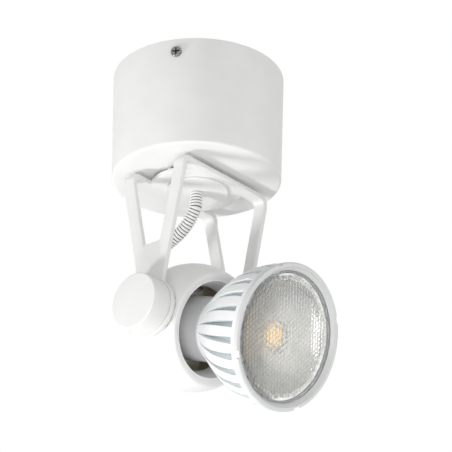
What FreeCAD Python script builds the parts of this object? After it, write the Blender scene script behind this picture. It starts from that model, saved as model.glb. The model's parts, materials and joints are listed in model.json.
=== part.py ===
import FreeCAD, Part
import math
import os
from FreeCAD import Placement, Rotation, Vector

# Ceiling spotlight: a round canopy, a bent sheet yoke that swivels under it,
# and a ball-shaped head with a reflector lamp that tilts between the yoke's arms.
# Millimetres. Origin: centre of the canopy where it meets the ceiling, +Z up.
# The tilt axis runs along X and the lamp looks towards -Y, a little downwards.

# Shared by every cut and fit
overrun = 1.0
running_clearance = 0.05
thread_clearance = 0.02

# Canopy shell
canopy_top_radius = 31.2
canopy_bottom_radius = 30.4
canopy_height = 41.4
canopy_wall = 1.2
canopy_corner_radius = 1.0

# Side screws of the canopy and the direction they stand in
side_screw_azimuth = 26.8
side_screw_drop = 5.3
side_screw_radius = 1.25
side_screw_head_radius = 1.95
side_screw_head_height = 0.9
side_screw_head_rounding = 0.35
side_screw_cross_width = 0.55
side_screw_cross_depth = 0.5
side_screw_cross_margin = 0.6
side_screw_hole_clearance = 0.15
side_screw_tip_reach = 1.6

# Ceiling plate inside the canopy
ceiling_plate_gap = 1.8
ceiling_plate_thickness = 1.5
ceiling_hole_circle = 40.0
ceiling_hole_radius = 2.25
cable_entry_radius = 7.0
tab_width = 12.0
tab_length = 9.5
tab_wall_gap = 2.0

# Terminal block under the ceiling plate
block_length = 24.0
block_width = 14.0
block_height = 13.0
block_edge_gap = 2.0
pole_spacing = 11.0
pole_height = 6.5
terminal_tube_radius = 2.3
terminal_tube_bore = 1.5
terminal_tube_end_gap = 1.0
terminal_entry_radius = 1.9
terminal_screw_radius = 1.2
terminal_screw_head_radius = 1.7
terminal_screw_head_height = 2.4
terminal_screw_inset = 3.4
terminal_screw_slot_width = 0.5
terminal_screw_slot_depth = 0.5
block_screw_radius = 1.5
block_screw_head_radius = 2.7
block_screw_head_height = 1.5
block_screw_clearance = 0.1

# Earth screw and its ring terminal on the ceiling plate
earth_screw_offset = 17.0
earth_screw_radius = 1.95
earth_screw_head_radius = 3.2
earth_screw_head_height = 2.0
ring_terminal_radius = 3.7
ring_terminal_thickness = 0.8
ring_terminal_barrel_radius = 1.3
ring_terminal_barrel_length = 5.0

# Insulated cores
core_radius = 0.65
core_circle_radius = 0.84
core_grip_length = 4.0
lead_level_run = 8.3
lead_fall = 10.0
lead_bend_radius = 4.0

# Yoke: one bent sheet with a top plate and two arms
sheet = 1.8
yoke_gap = 1.8
yoke_half_span = 22.75
yoke_half_depth = 14.1
bend_outer_radius = 3.0
taper_start_drop = 3.0
neck_half_width = 5.0
neck_height = 6.9
eye_radius = 10.2
eye_fillet = 2.4
window_margin = 4.7
window_plate_radius = 16.6
window_foot_height = 24.4
window_foot_half_width = 3.9
window_corner_radius = 0.8
arm_drop = 54.9

# Swivel: hollow bolt, bush, washers and nut
swivel_bolt_radius = 5.0
swivel_bolt_bore = 3.3
swivel_flange_radius = 11.4
swivel_flange_thickness = 1.0
swivel_flange_rounding = 0.3
swivel_flange_floor = 0.6
bush_flange_radius = 11.0
bush_sleeve_radius = 6.6
plain_washer_radius = 9.5
plain_washer_thickness = 1.0
spring_washer_radius = 8.6
spring_washer_thickness = 0.6
spring_washer_rise = 0.6
swivel_nut_width = 14.0
swivel_nut_height = 3.5
swivel_bolt_end = 1.0
stop_circle_radius = 14.0
stop_pin_radius = 1.25
stop_end_gap = 0.4
stop_pin_seat = 1.2

# Ball-shaped head
ball_radius = 22.4
ball_wall = 2.4
mouth_distance = 10.7
mouth_lip_depth = 3.0
mouth_lip_radius = 17.2
mouth_dish_depth = 0.7
mouth_dish_width = 1.6
ball_flat_distance = 20.2
boss_radius = 5.5
boss_face_distance = 16.9
tilt_angle = 19.0

# Sleeve in the mouth of the ball
collar_mouth_radius = 16.8
collar_throat_radius = 14.7
collar_depth = 8.0
collar_wall = 0.6

# Pivot hardware on the tilt axis
stud_radius = 2.5
stud_hole_clearance = 0.4
stud_tip_gap = 0.3
insert_radius = 3.6
insert_flange_radius = 4.3
insert_flange_thickness = 0.6
friction_washer_radius = 8.6
friction_washer_thickness = 0.75
knob_radius = 9.9
knob_length = 7.8
knob_gap = 0.3
knob_rounding = 0.45
knob_stud_depth = 5.2
knob_recess_radius = 5.2
knob_recess_depth = 1.3
knob_washer_clearance = 0.3

# Lampholder for a two-pin twist-lock lamp
holder_face_distance = 4.2
holder_radius = 12.4
holder_length = 10.4
holder_lug_half_width = 4.0
holder_lug_reach = 17.8
holder_lug_thickness = 2.0
holder_screw_offset = 15.3
holder_screw_radius = 1.5
holder_screw_head_radius = 2.4
holder_screw_head_height = 1.4
holder_screw_length = 7.0
holder_post_radius = 2.7
bracket_outer_radius = 18.2
bracket_clearance = 0.2
bracket_thickness = 1.0
bracket_half_width = 13.6
lead_pocket_radius = 1.9
lead_pocket_depth = 2.0

# Pins of the lamp and the pockets they turn in
pin_circle_radius = 5.0
pin_neck_radius = 1.5
pin_neck_length = 2.7
pin_head_radius = 2.4
pin_head_length = 4.3
pin_root = 2.5
pocket_clearance = 0.35
slot_face_thickness = 2.1
pocket_depth = 7.9
twist_angle = 28.0
contact_radius = 1.9
contact_thickness = 0.4
contact_dome_height = 0.6
contact_dome_radius = 1.2

# Rear gland of the head
gland_collar_radius = 4.4
gland_collar_length = 2.2
gland_thread_radius = 3.15
gland_bore = 1.7
gland_nut_width = 9.6
gland_nut_height = 2.0
gland_nut_seat_gap = 0.05
gland_thread_end = 0.6

# Lamp
lamp_front_distance = 45.15
lamp_radius = 25.0
lamp_ring_depth = 2.95
lamp_ring_lip_depth = 1.3
lamp_ring_rounding = 0.5
lamp_ring_seat_radius = 21.2
lamp_ring_seat_depth = 0.7
lamp_ring_bore = 22.3
notch_count = 4
notch_angle = 31.0
notch_width = 2.6
notch_depth = 0.8
lens_radius = 22.2
lens_thickness = 1.5
heatsink_tail_distance = 12.3
heatsink_tail_radius = 11.3
heatsink_collar_radius = 24.4
heatsink_collar_length = 2.7
heatsink_cavity_radius = 19.2
heatsink_cavity_depth = 6.4
heatsink_web = 2.0
heatsink_bore = 8.4
heatsink_wire_hole = 2.0
fin_slot_count = 28
fin_slot_front_gap = 0.4
fin_slot_tail_gap = 3.4
fin_slot_half_width = 1.2
fin_slot_tail_half_width = 0.12
fin_slot_front_depth = 2.7
fin_slot_tail_depth = 0.5
fin_slot_outside = 6.0
fin_phase_share = 0.6
base_radius = 11.3
base_wall = 1.4
base_end_wall = 1.5
base_end_gap = 0.3
base_rounding = 0.8
spigot_clearance = 0.1
spigot_wall = 1.0
spigot_length = 5.5
reflector_wall = 0.5
reflector_flange_thickness = 0.2
reflector_throat_radius = 5.5
board_clearance = 0.1
board_thickness = 1.0
led_radius = 3.4
led_height = 0.8
driver_half_width = 7.1
driver_thickness = 1.2
driver_length = 26.0
capacitor_radius = 2.8
capacitor_length = 9.0
coil_width = 6.0
coil_height = 5.0
coil_length = 7.0
component_start = 4.0
component_gap = 2.0

# Bulging outline of the lamp body: shares of its length from the tail,
# and shares of the way from the tail's radius to the collar's radius
bulge_length_shares = [0.06, 0.16, 0.26, 0.40, 0.54, 0.68, 0.82]
bulge_radius_shares = [0.055, 0.19, 0.34, 0.53, 0.695, 0.825, 0.92]

# Flexible conduit from the hub to the rear of the head, in the plane X = 0.
# Its free points are chosen by hand: distance behind the hub and drop below it.
conduit_crest_radius = 2.35
conduit_root_radius = 1.85
conduit_bore = 1.6
conduit_pitch = 1.1
conduit_exit_run = 6.6
conduit_entry_run = 8.6
conduit_points = [(5.6, 13.2), (15.3, 16.8), (24.0, 22.2), (31.2, 31.6)]
conduit_bend_share = 0.45
rib_shares = [0.14, 0.38, 0.62, 0.86]
sewing_tolerance = 0.002

# Levels worked out from the sizes above
canopy_floor = canopy_wall - canopy_height
plate_top = -canopy_height - yoke_gap
plate_bottom = plate_top - sheet
pivot_level = plate_top - arm_drop
hub_face = plate_bottom - swivel_flange_thickness
arm_inner = yoke_half_span - sheet
swivel_stack = plain_washer_thickness + spring_washer_thickness + spring_washer_rise
swivel_bolt_top = canopy_floor + swivel_stack + swivel_nut_height + swivel_bolt_end
ceiling_plate_radius = canopy_top_radius - canopy_wall - ceiling_plate_gap
block_outer_side = math.sqrt(ceiling_plate_radius ** 2 - (block_length / 2) ** 2) - block_edge_gap
block_inner_side = block_outer_side - block_width
block_top = -ceiling_plate_thickness
pole_level = block_top - pole_height
holder_rear = -holder_face_distance - holder_length
base_rear = base_end_gap - holder_face_distance
heatsink_front = lamp_front_distance - lamp_ring_depth
cavity_floor = heatsink_front - heatsink_cavity_depth
gland_end = ball_radius + gland_collar_length

# The head is drawn for its own flats and grows with the gap between the yoke's arms
head_share = (arm_inner - friction_washer_thickness) / ball_flat_distance

up = Vector(0, 0, 1)
along_x = Vector(1, 0, 0)
along_y = Vector(0, 1, 0)
plate_turn = Placement(Vector(), Rotation(up, side_screw_azimuth))
head_place = Placement(Vector(0, 0, pivot_level), Rotation(along_x, 90 + tilt_angle))


def cylinder(radius, low, high):
    """Round bar along Z between two levels."""
    return Part.makeCylinder(radius, high - low, Vector(0, 0, low))


def tube(outer, inner, low, high):
    return cylinder(outer, low, high).cut(cylinder(inner, low - overrun, high + overrun))


def block(x, y, z):
    """Box between pairs of limits."""
    corner = Vector(x[0], y[0], z[0])
    return Part.makeBox(x[1] - x[0], y[1] - y[0], z[1] - z[0], corner)


def lathe(points):
    """Body of revolution about Z from radius and level pairs."""
    corners = [Vector(radius, 0, level) for radius, level in points]
    face = Part.Face(Part.makePolygon(corners + corners[:1]))
    return face.revolve(Vector(), up, 360)


def along_x_bar(radius, low, high):
    return Part.makeCylinder(radius, high - low, Vector(low, 0, 0), along_x)


def moved(shape, x=0, y=0, z=0):
    copy = shape.copy()
    copy.translate(Vector(x, y, z))
    return copy


def turned(shape, angle, centre=Vector(), axis=up):
    copy = shape.copy()
    copy.rotate(centre, axis, angle)
    return copy


def placed(shape, place):
    copy = shape.copy()
    copy.transformShape(place.toMatrix())
    return copy


def round_edges(shape, radius, wanted):
    """Fillet the edges that a test picks out."""
    edges = [edge for edge in shape.Edges if wanted(edge)]
    return shape.makeFillet(radius, edges)


def circle_edge_at(radius, level, tolerance=0.01):
    def wanted(edge):
        curve = edge.Curve
        if not isinstance(curve, Part.Circle):
            return False
        same_radius = abs(curve.Radius - radius) < tolerance
        return same_radius and abs(curve.Center.z - level) < tolerance
    return wanted


def hexagon(width, low, high):
    corner = width / math.sqrt(3)
    points = [Vector(corner * math.cos(math.radians(60 * i)),
                     corner * math.sin(math.radians(60 * i)), low) for i in range(7)]
    return Part.Face(Part.makePolygon(points)).extrude(Vector(0, 0, high - low))


def save(name, shape):
    solids = shape.Solids
    result = solids[0] if len(solids) == 1 else Part.makeCompound(solids)
    result.exportStep("parts/" + name + ".step")
    print(name, len(solids), round(result.Volume, 2), result.isValid())


# Routes of cores and conduit

def rounded_route(points, radii):
    """Straight runs joined by tangent arcs, as a list of edges."""
    edges = []
    start = points[0]
    for before, corner, after, radius in zip(points, points[1:], points[2:], radii):
        back = (before - corner).normalize()
        ahead = (after - corner).normalize()
        half = math.acos(max(-1, min(1, back.dot(ahead)))) / 2
        tangent = radius / math.tan(half)
        entry = corner + back * tangent
        leave = corner + ahead * tangent
        centre_way = (back + ahead).normalize()
        middle = corner + centre_way * (radius / math.sin(half) - radius)
        edges.append(Part.LineSegment(start, entry).toShape())
        edges.append(Part.Arc(entry, middle, leave).toShape())
        start = leave
    edges.append(Part.LineSegment(start, points[-1]).toShape())
    return edges


def corner_radii(points, share):
    """Radius of each corner's arc from the shorter of its two runs."""
    radii = []
    for before, corner, after in zip(points, points[1:], points[2:]):
        run_in = corner - before
        run_out = after - corner
        turn = run_in.getAngle(run_out)
        radii.append(share * min(run_in.Length, run_out.Length) / math.tan(turn / 2))
    return radii


def swept_core(edges, radius):
    path = Part.Wire(edges)
    start = edges[0].firstVertex().Point
    heading = edges[0].tangentAt(edges[0].FirstParameter)
    section = Part.Wire(Part.makeCircle(radius, start, heading))
    return path.makePipeShell([section], True, False)


def stations(edges, lengths):
    """Point and heading at each length along joined edges."""
    found = []
    for length in lengths:
        left = length
        for edge in edges:
            if left <= edge.Length or edge is edges[-1]:
                place = edge.getParameterByLength(min(left, edge.Length))
                found.append((edge.valueAt(place), edge.tangentAt(place)))
                break
            left -= edge.Length
    return found


# Canopy and what it holds

def canopy_radius_at(drop):
    return canopy_top_radius - (canopy_top_radius - canopy_bottom_radius) * drop / canopy_height


def both_sides(shape):
    """A piece and its twin half a turn round Z."""
    return Part.makeCompound([shape, turned(shape, 180)])


def side_hole(radius):
    bar = along_x_bar(radius, 0, canopy_top_radius + overrun)
    return placed(both_sides(moved(bar, z=-side_screw_drop)), plate_turn)


def make_canopy_shell():
    outer = lathe([(0, 0), (canopy_top_radius, 0),
                   (canopy_bottom_radius, -canopy_height), (0, -canopy_height)])
    outer = round_edges(outer, canopy_corner_radius,
                        circle_edge_at(canopy_bottom_radius, -canopy_height))
    floor_radius = canopy_radius_at(-canopy_floor) - canopy_wall
    inside = lathe([(0, 0), (canopy_top_radius - canopy_wall, 0),
                    (floor_radius, canopy_floor), (0, canopy_floor)])
    shell = outer.cut(inside)
    shell = shell.cut(cylinder(bush_sleeve_radius, -canopy_height - overrun, 0))
    shell = shell.cut(side_hole(side_screw_radius + side_screw_hole_clearance))
    stud_hole = cylinder(stop_pin_radius, -canopy_height - overrun, 0)
    return shell.cut(moved(stud_hole, x=-stop_circle_radius))


def tab_outer_face():
    return canopy_top_radius - canopy_wall - tab_wall_gap


def make_ceiling_plate():
    plate = cylinder(ceiling_plate_radius, -ceiling_plate_thickness, 0)
    face = tab_outer_face()
    tab = block((face - ceiling_plate_thickness, face), (-tab_width / 2, tab_width / 2),
                (-tab_length, 0))
    for turn in (0, 180):
        plate = plate.fuse(turned(tab, turn))
        hole = cylinder(ceiling_hole_radius, -ceiling_plate_thickness - overrun, overrun)
        plate = plate.cut(turned(moved(hole, x=ceiling_hole_circle / 2), turn))
    through = (-ceiling_plate_thickness - overrun, overrun)
    plate = plate.cut(cylinder(cable_entry_radius, *through))
    plate = plate.cut(moved(cylinder(block_screw_radius, *through),
                            y=block_inner_side + block_width / 2))
    plate = plate.cut(moved(cylinder(earth_screw_radius, *through), y=-earth_screw_offset))
    plate = placed(plate.removeSplitter(), plate_turn)
    return plate.cut(side_hole(side_screw_radius + thread_clearance))


def make_side_screws():
    rims = (side_screw_drop - side_screw_head_radius, side_screw_drop + side_screw_head_radius)
    head_seat = max(canopy_radius_at(drop) for drop in rims) + thread_clearance
    tip = tab_outer_face() - ceiling_plate_thickness - side_screw_tip_reach
    head_top = head_seat + side_screw_head_height
    head = cylinder(side_screw_head_radius, head_seat, head_top)
    head = round_edges(head, side_screw_head_rounding,
                       circle_edge_at(side_screw_head_radius, head_top))
    screw = head.fuse(cylinder(side_screw_radius, tip, head_seat))
    arm = side_screw_head_radius - side_screw_cross_margin
    half = side_screw_cross_width / 2
    depth = (head_top - side_screw_cross_depth, head_top + overrun)
    screw = screw.cut(block((-arm, arm), (-half, half), depth))
    screw = screw.cut(block((-half, half), (-arm, arm), depth))
    screw = turned(screw, 90, axis=along_y)
    screw = moved(screw, z=-side_screw_drop)
    return placed(both_sides(screw), plate_turn)


def make_canopy_stop_stud():
    tip = plate_top + stop_end_gap
    head = canopy_floor + stop_pin_radius
    stud = cylinder(stop_pin_radius, tip, canopy_floor)
    rivet = cylinder(stop_pin_radius + stop_end_gap, canopy_floor, head)
    return moved(stud.fuse(rivet), x=-stop_circle_radius)


def make_swivel_bush():
    flange = cylinder(bush_flange_radius, plate_top, -canopy_height)
    sleeve = cylinder(bush_sleeve_radius, plate_top, canopy_floor)
    bore = cylinder(swivel_bolt_radius + running_clearance,
                    plate_top - overrun, canopy_floor + overrun)
    return flange.fuse(sleeve).cut(bore).removeSplitter()


def pole_places():
    return (-pole_spacing / 2, pole_spacing / 2)


def along_y_bar(radius, x, y, level):
    return Part.makeCylinder(radius, y[1] - y[0], Vector(x, y[0], level), along_y)


def block_limits():
    return (block_inner_side, block_outer_side)


def tube_limits():
    low, high = block_limits()
    return (low + terminal_tube_end_gap, high - terminal_tube_end_gap)


def terminal_screw_places():
    low, high = block_limits()
    rows = (low + terminal_screw_inset, high - terminal_screw_inset)
    return [(x, y) for x in pole_places() for y in rows]


def make_terminal_block():
    low, high = block_limits()
    body = block((-block_length / 2, block_length / 2), (low, high),
                 (block_top - block_height, block_top))
    for x in pole_places():
        body = body.cut(along_y_bar(terminal_entry_radius, x,
                                    (low - overrun, high + overrun), pole_level))
        body = body.cut(along_y_bar(terminal_tube_radius, x, tube_limits(), pole_level))
    well = cylinder(terminal_screw_head_radius + running_clearance,
                    block_top - block_height - overrun, pole_level)
    for x, y in terminal_screw_places():
        body = body.cut(moved(well, x, y))
    hole = cylinder(block_screw_radius + block_screw_clearance,
                    block_top - block_height - overrun, block_top + overrun)
    body = body.cut(moved(hole, y=(low + high) / 2))
    return placed(body, plate_turn)


def make_terminal_tubes():
    tubes = []
    for x in pole_places():
        piece = along_y_bar(terminal_tube_radius, x, tube_limits(), pole_level)
        bore = (tube_limits()[0] - overrun, tube_limits()[1] + overrun)
        piece = piece.cut(along_y_bar(terminal_tube_bore, x, bore, pole_level))
        for screw_x, y in terminal_screw_places():
            hole = cylinder(terminal_screw_radius + thread_clearance,
                            pole_level - terminal_tube_radius - overrun, pole_level)
            piece = piece.cut(moved(hole, screw_x, y))
        tubes.append(piece)
    return placed(Part.makeCompound(tubes), plate_turn)


def make_terminal_screws():
    seat = pole_level - terminal_tube_radius
    head_end = seat - terminal_screw_head_height
    screw = cylinder(terminal_screw_head_radius, head_end, seat)
    screw = screw.fuse(cylinder(terminal_screw_radius, seat, pole_level - core_radius))
    half = terminal_screw_slot_width / 2
    reach = terminal_screw_head_radius + overrun
    slot = block((-reach, reach), (-half, half),
                 (head_end - overrun, head_end + terminal_screw_slot_depth))
    screw = screw.cut(slot)
    screws = [moved(screw, x, y) for x, y in terminal_screw_places()]
    return placed(Part.makeCompound(screws), plate_turn)


def make_block_screw():
    head_top = block_top - block_height
    screw = cylinder(block_screw_radius, head_top, 0)
    screw = screw.fuse(cylinder(block_screw_head_radius,
                                head_top - block_screw_head_height, head_top))
    return placed(moved(screw, y=sum(block_limits()) / 2), plate_turn)


def barrel_level():
    return -ceiling_plate_thickness - ring_terminal_barrel_radius


def barrel_limits():
    low = ring_terminal_radius - earth_screw_offset
    return (low, low + ring_terminal_barrel_length)


def make_earth_ring_terminal():
    low = -ceiling_plate_thickness - ring_terminal_thickness
    ring = moved(cylinder(ring_terminal_radius, low, -ceiling_plate_thickness),
                 y=-earth_screw_offset)
    barrel = along_y_bar(ring_terminal_barrel_radius, 0, barrel_limits(), barrel_level())
    neck_half = ring_terminal_barrel_radius
    neck_reach = (-earth_screw_offset, barrel_limits()[0] + ring_terminal_thickness)
    neck = block((-neck_half, neck_half), neck_reach, (low, -ceiling_plate_thickness))
    terminal = ring.fuse(barrel).fuse(neck)
    hole = cylinder(earth_screw_radius, low - overrun, overrun)
    terminal = terminal.cut(moved(hole, y=-earth_screw_offset))
    bore = (barrel_limits()[1] - core_grip_length, barrel_limits()[1] + overrun)
    terminal = terminal.cut(along_y_bar(core_radius, 0, bore, barrel_level()))
    return placed(terminal, plate_turn)


def make_earth_screw():
    seat = -ceiling_plate_thickness - ring_terminal_thickness
    screw = cylinder(earth_screw_radius, seat, 0)
    screw = screw.fuse(cylinder(earth_screw_head_radius, seat - earth_screw_head_height, seat))
    return placed(moved(screw, y=-earth_screw_offset), plate_turn)


def core_offset(index):
    """Place of a core inside the hollow bolt and the conduit."""
    angle = math.radians(90 + 120 * index)
    return Vector(core_circle_radius * math.cos(angle), core_circle_radius * math.sin(angle), 0)


def canopy_lead(start, side, index):
    """Core from a terminal to the top of the hollow bolt, in the plate's own turn."""
    offset = plate_turn.inverse().multVec(core_offset(index))
    end = offset + Vector(0, 0, swivel_bolt_top)
    shoulder = start - along_y * (side * lead_level_run)
    over_bolt = offset + Vector(0, 0, swivel_bolt_top + lead_fall)
    points = [start, shoulder, over_bolt, end]
    edges = rounded_route(points, [lead_bend_radius, lead_bend_radius])
    return placed(swept_core(edges, core_radius), plate_turn)


def terminal_lead(x, index):
    grip = Vector(x, block_inner_side + core_grip_length, pole_level)
    return canopy_lead(grip, 1, index)


def make_earth_lead():
    grip = Vector(0, barrel_limits()[1] - core_grip_length, barrel_level())
    return canopy_lead(grip, -1, 1)


# Yoke

def yoke_section():
    """Bent sheet seen along Y: outer outline less inner outline."""
    foot = pivot_level - eye_radius - overrun
    outer = block((-yoke_half_span, yoke_half_span), (-yoke_half_depth, yoke_half_depth),
                  (foot, plate_top))
    inner = block((-arm_inner, arm_inner),
                  (-yoke_half_depth - overrun, yoke_half_depth + overrun),
                  (foot - overrun, plate_bottom))

    def long_top_edge(edge):
        box = edge.BoundBox
        return box.YLength > yoke_half_depth and box.ZLength < sheet / 2 and box.ZMin > plate_bottom - sheet

    outer = round_edges(outer, bend_outer_radius, long_top_edge)
    inner = round_edges(inner, bend_outer_radius - sheet / 2, long_top_edge)
    return outer.cut(inner)


def arm_outline():
    """Tapering arms with a round eye at the pivot, cut through both arms along X."""
    taper_top = plate_bottom - taper_start_drop
    neck = pivot_level + neck_height
    half = yoke_half_depth
    points = [(half, overrun + plate_top), (half, taper_top), (neck_half_width, neck),
              (neck_half_width, pivot_level), (-neck_half_width, pivot_level),
              (-neck_half_width, neck), (-half, taper_top), (-half, overrun + plate_top)]
    reach = yoke_half_span + overrun
    corners = [Vector(-reach, y, z) for y, z in points]
    face = Part.Face(Part.makePolygon(corners + corners[:1]))
    prism = face.extrude(Vector(2 * reach, 0, 0))
    eye = Part.makeCylinder(eye_radius, 2 * reach, Vector(-reach, 0, pivot_level), along_x)
    outline = prism.fuse(eye).removeSplitter()
    shoulder = pivot_level + math.sqrt(eye_radius ** 2 - neck_half_width ** 2)

    def where_neck_meets_eye(edge):
        box = edge.BoundBox
        return box.XLength > reach and abs(box.ZMin - shoulder) < sheet

    return round_edges(outline, eye_fillet, where_neck_meets_eye)


def window_half_width():
    return yoke_half_depth - window_margin


def arm_window():
    """Trapezoid cut through both arms, narrow at its foot."""
    top = plate_bottom - taper_start_drop
    foot = pivot_level + window_foot_height
    half = window_half_width()
    reach = yoke_half_span + overrun
    points = [(half, top), (window_foot_half_width, foot),
              (-window_foot_half_width, foot), (-half, top)]
    corners = [Vector(-reach, y, z) for y, z in points]
    face = Part.Face(Part.makePolygon(corners + corners[:1]))
    prism = face.extrude(Vector(2 * reach, 0, 0))

    def at_foot(edge):
        box = edge.BoundBox
        return box.XLength > reach and box.ZMax < foot + overrun

    return round_edges(prism, window_corner_radius, at_foot)


def plate_windows():
    """The windows go on over both bends and end in an arc round the hub."""
    top = plate_bottom - taper_start_drop
    half = window_half_width()
    reach = yoke_half_span + overrun
    across = block((-reach, reach), (-half, half), (top, plate_top + overrun))
    return across.cut(cylinder(window_plate_radius, top - overrun, plate_top + 2 * overrun))


def make_yoke_bracket():
    yoke = yoke_section().common(arm_outline())
    keep_plate = block((-arm_inner, arm_inner), (-yoke_half_depth, yoke_half_depth),
                       (pivot_level, plate_bottom))
    yoke = yoke.cut(arm_window().cut(keep_plate)).cut(plate_windows())
    yoke = yoke.cut(cylinder(swivel_bolt_radius + running_clearance,
                             plate_bottom - overrun, plate_top + overrun))
    pin_seat = cylinder(stop_pin_radius, plate_top - stop_pin_seat, plate_top + overrun)
    yoke = yoke.cut(moved(pin_seat, x=stop_circle_radius))
    pivot_hole = along_x_bar(stud_radius + stud_hole_clearance,
                             -yoke_half_span - overrun, yoke_half_span + overrun)
    return yoke.cut(moved(pivot_hole, z=pivot_level)).removeSplitter()


def make_swivel_bolt():
    flange = cylinder(swivel_flange_radius, hub_face, plate_bottom)
    flange = round_edges(flange, swivel_flange_rounding,
                         circle_edge_at(swivel_flange_radius, hub_face))
    bolt = flange.fuse(cylinder(swivel_bolt_radius, hub_face, swivel_bolt_top))
    bolt = bolt.cut(cylinder(swivel_bolt_bore, hub_face + swivel_flange_floor,
                             swivel_bolt_top + overrun))
    return bolt.cut(cylinder(conduit_bore, hub_face - overrun, 0)).removeSplitter()


def make_yoke_stop_pin():
    tip = -canopy_height - stop_end_gap
    pin = cylinder(stop_pin_radius, plate_top - stop_pin_seat, tip)
    return moved(pin, x=stop_circle_radius)


def make_swivel_washer():
    inner = swivel_bolt_radius + thread_clearance
    return tube(plain_washer_radius, inner, canopy_floor, canopy_floor + plain_washer_thickness)


def make_swivel_spring_washer():
    inner = swivel_bolt_radius + thread_clearance
    low = canopy_floor + plain_washer_thickness
    return lathe([(spring_washer_radius, low),
                  (spring_washer_radius, low + spring_washer_thickness),
                  (inner, low + spring_washer_rise + spring_washer_thickness),
                  (inner, low + spring_washer_rise)])


def make_swivel_nut():
    low = canopy_floor + swivel_stack
    nut = hexagon(swivel_nut_width, low, low + swivel_nut_height)
    return nut.cut(cylinder(swivel_bolt_radius + thread_clearance, low - overrun, 0))


# Conduit and the cores inside it

def to_head(x, y, z):
    """Point of the head's own frame, in the whole light's frame."""
    return head_place.multVec(Vector(x, y, z) * head_share)


def conduit_route():
    start = Vector(0, 0, hub_face)
    end = to_head(0, 0, -gland_end)
    outward = (end - to_head(0, 0, 0)).normalize()
    points = [start, start - up * conduit_exit_run]
    points += [start + Vector(0, back, -drop) for back, drop in conduit_points]
    points += [end + outward * conduit_entry_run, end]
    return points


def conduit_edges():
    points = conduit_route()
    radii = corner_radii(points, conduit_bend_share)
    straight_end = 2 * conduit_crest_radius
    for index, run in ((0, conduit_exit_run), (-1, conduit_entry_run)):
        middle = 1 if index == 0 else -2
        before, corner, after = points[middle - 1], points[middle], points[middle + 1:][0]
        turn = (corner - before).getAngle(after - corner)
        radii[index] = min(radii[index], (run - straight_end) / math.tan(turn / 2))
    print("conduit bend radii", [round(radius, 2) for radius in radii])
    return rounded_route(points, radii)


def ring_wires(edges, lengths, radii):
    wires = []
    for (point, heading), radius in zip(stations(edges, lengths), radii):
        circle = Part.Circle(point, heading, radius)
        circle.XAxis = along_x
        wires.append(Part.Wire(circle.toShape()))
    return wires


def make_flex_conduit():
    edges = conduit_edges()
    length = sum(edge.Length for edge in edges)
    count = round(length / conduit_pitch)
    pitch = length / count
    lengths = [0]
    radii = [conduit_root_radius]
    profile = (conduit_root_radius, conduit_crest_radius,
               conduit_crest_radius, conduit_root_radius)
    for rib in range(count):
        lengths += [(rib + share) * pitch for share in rib_shares]
        radii += profile
    lengths.append(length)
    radii.append(conduit_root_radius)
    outer = Part.makeLoft(ring_wires(edges, lengths, radii), False, True)
    bore_lengths = [length * step / (2 * count) for step in range(2 * count + 1)]
    bore_wires = ring_wires(edges, bore_lengths, [conduit_bore] * len(bore_lengths))
    inner = Part.makeLoft(bore_wires, False, True)
    ends = []
    for index in (0, -1):
        rims = ring_wires(edges, [lengths[index]] * 2, [conduit_root_radius, conduit_bore])
        ends.append(Part.Face(rims))
    shell = Part.Shell(outer.Faces + inner.Faces + ends)
    shell.sewShape()
    solid = Part.Solid(shell)
    solid.fix(sewing_tolerance, sewing_tolerance, sewing_tolerance)
    if solid.Volume < 0:
        solid.reverse()
    print("conduit length", round(length, 2), "ribs", count)
    return solid


def head_lead(index):
    """Core from the top of the hollow bolt through the conduit to the lampholder."""
    edges = conduit_edges()
    top = Vector(0, 0, swivel_bolt_top)
    end = to_head(0, 0, holder_rear + lead_pocket_depth)
    first, last = edges[0], edges[-1]
    edges[0] = Part.LineSegment(top, first.lastVertex().Point).toShape()
    edges[-1] = Part.LineSegment(last.firstVertex().Point, end).toShape()
    section = Part.Wire(Part.makeCircle(core_radius, top + core_offset(index), up * -1))
    maker = Part.BRepOffsetAPI.MakePipeShell(Part.Wire(edges))
    maker.setBiNormalMode(along_x)
    maker.add(section)
    maker.build()
    maker.makeSolid()
    return maker.shape()


# Knobs on the tilt axis

def sided(shape, side):
    """Put a piece made along +X at the pivot on the chosen side."""
    piece = shape if side > 0 else turned(shape, 180)
    return moved(piece, z=pivot_level)


def make_knob(side):
    base = yoke_half_span + knob_gap
    face = base + knob_length
    knob = cylinder(knob_radius, base, face)
    knob = round_edges(knob, knob_rounding, circle_edge_at(knob_radius, face))
    knob = knob.cut(cylinder(stud_radius, base - overrun, base + knob_stud_depth))
    knob = knob.cut(cylinder(knob_recess_radius, base - overrun, base + knob_recess_depth))
    return sided(turned(knob, 90, axis=along_y), side)


def make_knob_stud(side):
    tip = (boss_face_distance - insert_flange_thickness + stud_tip_gap) * head_share
    return sided(along_x_bar(stud_radius, tip, yoke_half_span + knob_gap + knob_stud_depth), side)


def make_knob_spring(side):
    low = yoke_half_span + knob_gap / 2
    high = yoke_half_span + knob_gap + knob_recess_depth
    ring = tube(knob_recess_radius - knob_washer_clearance, stud_radius + knob_washer_clearance,
                low, high)
    gap = block((0, knob_recess_radius), (0, knob_washer_clearance), (low - overrun, high + overrun))
    return sided(turned(ring.cut(gap), 90, axis=along_y), side)


def make_friction_washers():
    washer = tube(friction_washer_radius, stud_radius + stud_hole_clearance,
                  arm_inner - friction_washer_thickness, arm_inner)
    washer = turned(washer, 90, axis=along_y)
    return Part.makeCompound([sided(washer, side) for side in (-1, 1)])


# Head: every piece is made with its lamp axis along +Z, then placed

def in_head(shape):
    """Grow a piece of the head with the yoke's gap and put it at the pivot."""
    piece = shape.copy()
    piece.scale(head_share)
    return placed(piece, head_place)


def post_places():
    return (-holder_screw_offset, holder_screw_offset)


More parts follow.
